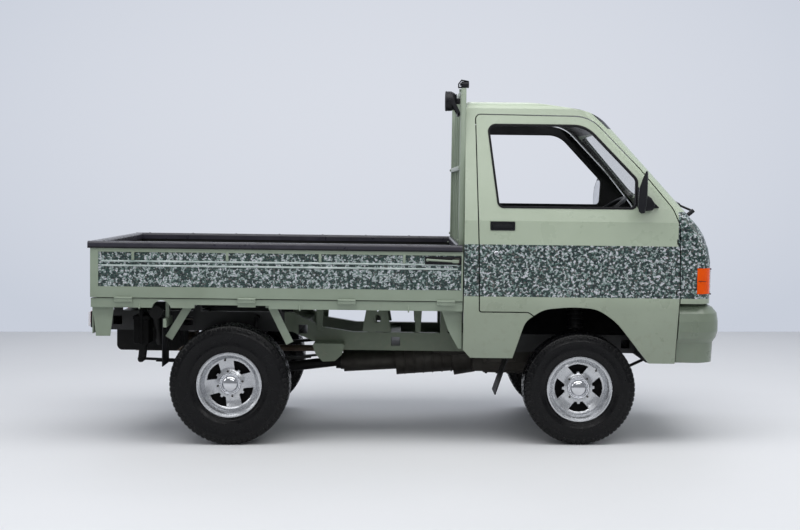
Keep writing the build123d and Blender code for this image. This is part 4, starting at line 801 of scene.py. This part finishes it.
housing = lathe("lamp_housing", LAMP_HOUSING, LAMP_MIDDLE, 56, FORWARD)
fins = [block("fin", (x, -626, 1746), (x + 2.5, -554, 1814), 1) for x in (226, 232, 238)]
yoke = [prism("ear", YOKE_EAR, y, y + 3, 1, 1, 5) for y in (-646, -537)]
yoke += blocks(
    ("yoke_base", (243, -646, 1700), (257.6, -534, 1716), 2),
    ("clamp", (240, -618, 1764), (259, -572, 1792), 3),
)
yoke += drums(
    ("pivot", (206, -650, 1778), (206, -530, 1778), 7, 1.5, 20),
    ("clamp_bolt", (234, -604, 1778), (244, -604, 1778), 6, 1, 6),
)
flood = [prism("strap", FLOOD_STRAP, -639, -611, 1.2)]
flood += blocks(
    ("flood_base", (246, -639, 1843.4), (286, -611, 1850), 2),
    ("stem", (270, -633, 1848), (280, -617, 1866), 2),
)
flood += drums(
    ("flood_head", (262, -625, 1862), (302, -625, 1862), 15, 3, 28, 18.5),
    ("knob", (256, -625, 1862), (264, -625, 1862), 7, 1.5, 16),
)
lamp = joined("work_lamp_dressed", [housing] + fins + yoke + flood)
done(lamp, "truck", "black_plastic", ("work_lamp",))
done(lathe("lamp_reflector", LAMP_REFLECTOR, LAMP_MIDDLE, 48, FORWARD), "truck", "chrome")
done(lathe("lamp_pane", LAMP_PANE, LAMP_MIDDLE, 48, FORWARD), "truck", "lamp_glass")

# The doors' leaning skin above the belt

LEAN = 0.1433
LEAN_FROM = 1167.0


def skin_y(z):
    """Outer face of the door at a height."""
    return -HALF_WIDTH + max(0.0, z - LEAN_FROM) * LEAN


# Mirrors: shell and glass toed in, arm, and a foot that lies on the skin

MIRROR_END = (1147, -852)
TOE_ANGLE = -11
SAIL_FOOT = 1240
MIRROR_HEAD = [
    (1184, 1430), (1168, 1392), (1152, 1343), (1147, 1290), (1147, 1240), (1152, 1222), (1162, 1214),
    (1180, 1216), (1187, 1260), (1190, 1316), (1191, 1398), (1190, 1424),
]
MIRROR_PANE = [
    (1146.2, 1236), (1146.2, 1288), (1151, 1341), (1166, 1388), (1169, 1388), (1154, 1341), (1149.6, 1288),
    (1149.6, 1236),
]
MIRROR_ARM = [(1178, 1220), (1245, 1230), (1252, 1262), (1232, 1293), (1204, 1310), (1178, 1300)]
MIRROR_SAIL = [(1168, SAIL_FOOT), (1168, 1352), (1282, SAIL_FOOT)]
to_end = Matrix.Translation((*MIRROR_END, 0))
toe = to_end @ Matrix.Rotation(radians(TOE_ANGLE), 4, "Z") @ to_end.inverted()
lie_on_skin = Matrix(((1, 0, 0, 0), (0, 1, LEAN, -LEAN * SAIL_FOOT), (0, 0, 1, 0), (0, 0, 0, 1)))

head = prism("head", MIRROR_HEAD, -852, -724, 11, 4)
head.data.transform(toe)
arm = prism("arm", MIRROR_ARM, -746, -703.6, 8, 3, 10)
sail = prism("sail", MIRROR_SAIL, -707, -690, 3, 2, 8)
sail.data.transform(lie_on_skin)
pivot = drum("mirror_pivot", (1196, -724, 1262), (1196, -700, 1262), 14, 3, 28)
shell = joined("mirror_dressed", [head, arm, sail, pivot])
both(shell, "door_{}", "black_plastic", ("mirror_{}",))
mirror_pane = prism("mirror_glass", MIRROR_PANE, -843, -734, 0.8, 1)
mirror_pane.data.transform(toe)
both(mirror_pane, "door_{}", "chrome")

# Window seals: a rubber strip on the skin, turned in round the opening

# Corners of the opening, and the radius at each
WINDOW = [(462, 1238), (404, 1657), (905, 1657), (1168, 1384), (1163, 1238)]
WINDOW_RADII = [28, 34, 150, 40, 26]
SEAL_WIDTH = 9
SEAL_DEPTH = 30
SEAL_PROUD = 2.0


def rounded(points, radii, steps=8):
    """An outline's corners turned into arcs."""
    result = []
    count = len(points)
    for k in range(count):
        before, corner, after = (Vector(points[(k + d) % count]) for d in (-1, 0, 1))
        a, b = (before - corner).normalized(), (after - corner).normalized()
        half = a.angle(b) / 2
        reach = radii[k] / tan(half)
        middle = corner + (a + b).normalized() * radii[k] / sin(half)
        start, stop = corner + a * reach - middle, corner + b * reach - middle
        turn = start.angle_signed(stop)
        for step in range(steps + 1):
            result.append(middle + Matrix.Rotation(-turn * step / steps, 2) @ start)
    return result


def outward(outline):
    """The direction away from the middle at each point of an outline."""
    count = len(outline)
    middle = Vector((sum(p.x for p in outline) / count, sum(p.y for p in outline) / count))
    sides = []
    for k in range(count):
        along = (outline[(k + 1) % count] - outline[k - 1]).normalized()
        out = Vector((along.y, -along.x))
        sides.append(out if out.dot(outline[k] - middle) > 0 else -out)
    return sides


def seal(name, outline, wide, deep, proud):
    """A strip round an outline on the leaning skin: wide outside the edge, deep into the opening."""
    # Section of the strip: distance outside the edge, depth behind the skin
    section = [
        (wide, 0.4), (wide - 2, -proud), (-1, -proud - 1), (-4.5, 0), (-4.5, deep), (-0.4, deep), (-0.4, 0.4),
    ]
    sides = outward(outline)
    rings = []
    for k, (share, depth) in enumerate(section):
        places = [p + out * share for p, out in zip(outline, sides)]
        points = [(q.x, skin_y(q.y) + depth, q.y) for q in places]
        rings.append(ring_of(f"{name}_{k}", points, False))
    return edited(joined(name, rings), (bpy.ops.mesh.bridge_edge_loops, {"type": "CLOSED"}))


strip = seal("window_seal", rounded(WINDOW, WINDOW_RADII), SEAL_WIDTH, SEAL_DEPTH, SEAL_PROUD)
both(strip, "door_{}", "rubber", angle=50)

# Door lock and handle

LOCK = [(0, -4), (5, -4), (6, -2.5), (9, -2.5), (11, -1), (11, 1), (0, 1)]
both(lathe("door_lock", LOCK, (452, -698, 1000), 32), "door_{}", "chrome")
handle = blocks(
    ("handle_paddle", (428, -697.6, 1126), (536, -692.5, 1149), 3, 3),
    ("handle_lip", (426, -699.4, 1146), (538, -695, 1153), 2),
)
both(joined("handle_trim", handle), "door_{}", "black_plastic")

# Side gates: ribs, beads, hinge straps and latches

GATE_REAR, GATE_FRONT = -1570, 256
BEAD_HEIGHTS = (914, 937)
RIB_PLACES = (-1410, -927, -451, -20)
HINGE_PLACES = (-1458, -826, -312, 196)
STRAP_HALF = 46
RIVET_REACH = 30
LATCH_HOOK = [
    (238, 972), (262, 972), (268, 960), (262, 946), (250, 940), (250, 945), (258, 950), (260, 960),
    (256, 966), (238, 966),
]

for x in RIB_PLACES:
    rib = block(f"gate_rib_{abs(x)}", (x - 7, -700.4, 942), (x + 7, -691.5, 985), 2)
    both(rib, "gate_{}", "guard_paint")
# The beads' pale colour carries a painted highlight
beads = [drum("bead", (GATE_REAR, -693.2, z), (GATE_FRONT, -693.2, z), 5.0, 1, 16) for z in BEAD_HEIGHTS]
both(joined("gate_beads", beads), "gate_{}", "bead_paint_and_highlight")
straps = []
for x in HINGE_PLACES:
    straps.append(block("strap", (x - STRAP_HALF, -705.6, 728), (x + STRAP_HALF, -697.2, 748), 1.5))
    straps += drums(
        ("knuckle", (x - STRAP_HALF, -704.2, 749), (x + STRAP_HALF, -704.2, 749), 5.5, 1, 16),
        ("rivet", (x - RIVET_REACH, -708, 738), (x - RIVET_REACH, -700, 738), 4, 1, 12),
        ("rivet", (x + RIVET_REACH, -708, 738), (x + RIVET_REACH, -700, 738), 4, 1, 12),
    )
both(joined("gate_hinge_straps", straps), "gate_{}", "guard_paint")
pocket = block("latch_pocket", (86, -698.2, 936), (272, -692.2, 978), 1.5)
both(pocket, "gate_{}", "rubber")
lever = drums(
    ("lever", (94, -703.5, 962), (236, -703.5, 955), 5.5, 1.5, 20),
    ("lever_pin", (100, -706, 961), (100, -696, 961), 8, 1.5, 20),
)
lever.append(block("lever_end", (226, -707, 946), (262, -700.5, 964), 3))
both(joined("latch_lever", lever), "gate_{}", "guard_paint")
both(prism("latch_hook", LATCH_HOOK, -706.5, -698.5, 1), "gate_{}", "iron")

# Rope hooks under the sill

hooks = []
for x in (-1376, -553, 5):
    hooks += drums(
        ("hook_bar", (x, -688, 722), (x, -696, 690), 4, 1, 14),
        ("hook_tip", (x, -696, 692), (x, -702, 700), 4, 1, 14),
    )
both(joined("rope_hooks", hooks), "truck", "guard_paint")

# Rail caps: screws along the top and a welt along the lower edge

SCREW_HEAD = [(0, 3), (3, 2.7), (5.5, 1.4), (6.5, 0), (0, 0)]
SCREW_STEP = 262
screws = []
for k, x in enumerate(range(-1560, 280, SCREW_STEP)):
    screws.append(lathe(f"cap_screw_{k}", SCREW_HEAD, (x, -679, 1037.5), 20, (0, 0, 1)))
both(joined("cap_screws", screws), "gate_{}", "iron")
welt = block("cap_welt", (-1640, -705.4, 1004), (276, -702.6, 1010), 1.2)
both(welt, "gate_{}", "rubber")

# Wheel houses: lining over and inboard of the front wheels

lining = blocks(
    ("inner_apron", (522, -334, 552), (1236, -330, 744), 1),
    ("top_apron", (522, -640, 739), (1236, -334, 744), 1),
)
both(joined("wheel_house_lining", lining), "truck", "underbody")

# Headlamps: chromed bowl, fluted clear lens that follows the nose, and the bars above and below

LENS_LOW, LENS_HIGH = 799, 923
BAR_DEPTH = 6
BULB = (1572, -492, 861)
BOWL_PLAN = [(1568.4, -586), (1568.4, -397), (1577, -397), (1574, -440), (1572, -545), (1571, -586)]
LENS_PLAN = [
    (1575.5, -586), (1581, -560), (1586, -480), (1588, -397), (1585, -397), (1583, -480), (1578, -558),
    (1572, -586),
]
BAR_PLAN = [(1567, -590), (1578, -590), (1590, -480), (1591, -393), (1567, -393)]
BULB_RING = [(24, 0), (24, 6), (21, 8), (19, 4), (19, 0)]
BULB_SHIELD = [(0, 0), (12, 0), (12, 8), (9, 10), (0, 11)]
# Flutes: spacing, height, and the curve of the nose they sit on
FLUTE_STEP = 14
FLUTE_RISE = 1.6
NOSE_X, NOSE_CURVE = 1583.0, 0.00036


def plan_prism(name, points, z_low, z_high, edge=0.0, segments=2):
    """An outline seen from above, filled between two heights."""
    piece = ring_of(name, [(x, y, z_low) for x, y in points], True)
    extruded(piece, (0, 0, z_high - z_low))
    return bevel(piece, edge, segments) if edge else piece


def flute(y):
    """A small upright ridge inside the lens."""
    plan = []
    for step, centre, rise in ((0, 397, 0), (6, 391, FLUTE_RISE), (12, 385, 0)):
        plan.append((NOSE_X + rise - NOSE_CURVE * (y + centre) ** 2, y - step))
    return plan_prism("flute", plan, LENS_LOW + 4, LENS_HIGH - 4)


bowl = [plan_prism("bowl", BOWL_PLAN, LENS_LOW, LENS_HIGH, 1)]
bowl.append(lathe("bulb_ring", BULB_RING, BULB, 40, FORWARD))
bowl.append(lathe("bulb_shield", BULB_SHIELD, BULB, 32, FORWARD))
both(joined("headlamp_bowl", bowl), "truck", "chrome", ("headlamps",))
flutes = [flute(y) for y in range(-404, -574, -FLUTE_STEP)]
lens = plan_prism("headlamp_lens", LENS_PLAN, LENS_LOW, LENS_HIGH, 1.2, 3)
both(lens, "truck", "lamp_glass")
both(joined("headlamp_flutes", flutes), "truck", "lamp_glass")
bars = [
    plan_prism("bar_top", BAR_PLAN, LENS_HIGH, LENS_HIGH + BAR_DEPTH, 1),
    plan_prism("bar_low", BAR_PLAN, LENS_LOW - BAR_DEPTH, LENS_LOW, 1),
]
both(joined("headlamp_bezel", bars), "truck", "black_plastic")

# Tail lamps: housing and three lenses

tail_housing = block("tail_housing", (-1636, -650, 589), (-1625.4, -440, 672), 3)
both(tail_housing, "truck", "black_plastic", ("tail_lamps",))
# Name, outer end, inner end, rear face, finish, slot
for name, outer, inner, rear, finish_name, slot in (
    ("tail_red", -535, -446, -1650.5, "red_lens", "lamp_red"),
    ("tail_orange", -592, -537, -1650.5, "orange_lens", "lamp_orange"),
    ("tail_clear", -642, -594, -1650, "lamp_glass", "lamp_clear"),
):
    both(block(name, (rear, outer, 593), (-1635, inner, 668), 5, 3), "truck", finish_name)

# Seats: padded covers swelled by a light pressure, with sewn channels

CLOTH = {
    "use_pressure": True, "uniform_pressure_force": 3.0, "tension_stiffness": 40, "bending_stiffness": 4,
    "quality": 4,
}
SWELL_BELOW, SWELL_ABOVE = 0.012, 0.008
CHANNEL_DEPTH, CHANNEL_WIDTH, CHANNEL_REACH = 7.0, 9.0, 45
FACE_SWELL = 4
# Name, low corner, high corner, axis of the sewn face, axis across the channels, channels, solid stood for
SEATS = (
    ("cushion", (447, -579, 766), (1024, -76, 868), 2, 1, (-500, -414, -327, -240, -155), "seat_cushions"),
    ("back", (412, -579, 884), (580, -76, 1214), 0, 2, (960, 1040, 1120), "seat_backs"),
)


def inflated(piece):
    """The cover let out by air pressure for a few frames."""
    active(piece)
    cloth = piece.modifiers.new("cloth", "CLOTH")
    for key, value in CLOTH.items():
        setattr(cloth.settings, key, value)
    cloth.settings.effector_weights.gravity = 0.0
    cloth.point_cache.frame_start = 1
    cloth.point_cache.frame_end = 20
    for number in range(1, 15):
        bpy.context.scene.frame_set(number)
    bpy.ops.object.modifier_apply(modifier=cloth.name)
    bpy.context.scene.frame_set(1)


def seat_form(name, low_corner, high_corner):
    """A block with wide soft edges, remeshed evenly and swelled within its room."""
    piece = block(name, low_corner, high_corner, 26, 4)
    piece.data.transform(Matrix.Scale(0.001, 4))
    modify(piece, "REMESH", mode="VOXEL", voxel_size=0.006)
    inflated(piece)
    low_m, high_m = (Vector(corner) / 1000 for corner in (low_corner, high_corner))
    for vertex in piece.data.vertices:
        for axis in range(3):
            lowest, highest = low_m[axis] - SWELL_BELOW, high_m[axis] + SWELL_ABOVE
            vertex.co[axis] = min(max(vertex.co[axis], lowest), highest)
    piece.data.transform(Matrix.Scale(1000, 4))
    return piece


def pressed(piece, axis, face, channels, across):
    """Sewn channels pressed into the face that looks along an axis."""
    for vertex in piece.data.vertices:
        place = vertex.co
        near = max(0.0, 1 - abs(place[axis] - face) / CHANNEL_REACH)
        fall = sum(CHANNEL_DEPTH * exp(-((place[across] - line) / CHANNEL_WIDTH) ** 2) for line in channels)
        place[axis] -= near * fall
    piece.data.update()


for name, low_corner, high_corner, axis, across, channels, node in SEATS:
    piece = seat_form(f"seat_{name}", low_corner, high_corner)
    pressed(piece, axis, high_corner[axis] + FACE_SWELL, channels, across)
    for item in both(piece, "truck", "seat_cloth", (node,), 60):
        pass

# Power unit: gearbox ribs, pan, side cover, bolts and starter

GEARBOX_RIB = [(91, 0), (97, 1), (97, 7), (91, 8)]
RIB_STEP, RIB_DROP = 52, 3.6
ribs = []
for k in range(6):
    ribs.append(lathe(f"rib_{k}", GEARBOX_RIB, (250 - RIB_STEP * k, 0, 397.8 - RIB_DROP * k), 40, FORWARD))
ribs += blocks(
    ("pan", (420, -170, 318), (800, 170, 332), 6),
    ("side_cover", (420, -232, 380), (760, -219, 560), 6),
)
for x in range(440, 800, 60):
    ribs += [drum("pan_bolt", (x, y, 312), (x, y, 320), 8, 1.5, 6) for y in (-158, 158)]
for x in (440, 590, 740):
    ribs += [drum("cover_bolt", (x, -238, z), (x, -230, z), 8, 1.5, 6) for z in (396, 544)]
ribs += drums(
    ("starter", (330, -140, 452), (180, -140, 446), 38, 5, 32),
    ("starter_nose", (182, -140, 446), (150, -140, 445), 26, 4, 32),
)
done(joined("power_unit_details", ribs), "truck", "iron")

# Brackets between the rails and the bed

BRACKET_TOP, BRACKET_FOOT = 699, 552
BRACKET = [(-215, BRACKET_TOP), (-110, BRACKET_TOP), (-84, BRACKET_FOOT), (-241, BRACKET_FOOT)]
bracket = prism("bracket", BRACKET, -326, -320.4, 1.5, 2, 6)
cut(bracket, drum("hole", (-162, -340, 622), (-162, -300, 622), 22))
cut(bracket, drum("hole", (-162, -340, 672), (-162, -300, 672), 12))
plates = [bracket]
for x in (-470, 60):
    outline = [(x - 22, BRACKET_TOP), (x + 22, BRACKET_TOP), (x + 14, BRACKET_FOOT), (x - 14, BRACKET_FOOT)]
    plates.append(prism("plate", outline, -325, -320.4, 1.2, 1))
both(joined("frame_brackets", plates), "truck", "frame_paint")

# Box hung from the rail behind the right rear wheel

box = blocks(
    ("box", (-1424, -600, 500), (-1342, -470, 640), 9, 3),
    ("box_lid", (-1428, -604, 628), (-1338, -466, 648), 5, 2),
    ("box_strap", (-1392, -606, 500), (-1374, -464, 700), 2, 1),
    ("box_arm", (-1400, -474, 560), (-1366, -320.5, 590), 3, 1),
)
box.append(drum("box_bolt", (-1360, -608, 622), (-1360, -598, 622), 9, 1.5, 6))
done(joined("canister_box", box), "truck", "underbody")

# Brake lines along the left of the right rail, with their clips

LINE_HEIGHT = 604
CLIP_PLACES = (-1400, -1100, -800)
lines = [drum("line", (-1500, y, LINE_HEIGHT), (-640, y, LINE_HEIGHT), 4, 0, 12) for y in (-286, -276)]
for x in CLIP_PLACES:
    lines += blocks(
        ("line_clip", (x, -290, 597), (x + 12, -272, 610), 1, 1),
        ("line_post", (x, -296, 597), (x + 12, -290, 610), 1, 1),
    )
done(joined("brake_lines", lines), "truck", "steel")

# Ribs of the bed's floor mat

MAT_STEP, RIB_HALF = 80, 14
mat = []
for y in range(-560, 561, MAT_STEP):
    mat.append(block("mat_rib", (-1590, y - RIB_HALF, 761.5), (246, y + RIB_HALF, 766), 2, 1))
done(joined("bed_mat_ribs", mat), "truck", "rubber")

# Turn lamps: the line between their lenses

seam = block("lamp_seam", (1486, -696.5, 866), (1530, -694.2, 869), 0.6, 1)
both(seam, "truck", "rubber")

# Dashboard: cluster hood, radio, heater, glovebox lid, vents and knobs

CLUSTER_HOOD = [(1300, 1196), (1306, 1236), (1360, 1242), (1440, 1200)]
dash = [prism("cluster_hood", CLUSTER_HOOD, -480, -190, 8, 3)]
dash += blocks(
    ("radio", (1282, -110, 1040), (1292, 110, 1096), 3),
    ("heater", (1282, -110, 1108), (1292, 110, 1160), 3),
    ("glovebox", (1284, 190, 1020), (1291, 560, 1130), 4),
)
dash += drums(
    ("vent_a", (1284, -580, 1150), (1292, -580, 1150), 34, 2, 32),
    ("vent_b", (1284, 590, 1150), (1292, 590, 1150), 34, 2, 32),
)
dash += [drum("knob", (1272, y, 1134), (1284, y, 1134), 13, 2, 24) for y in (-70, 0, 70)]
done(joined("dashboard_details", dash), "truck", "trim_grey")
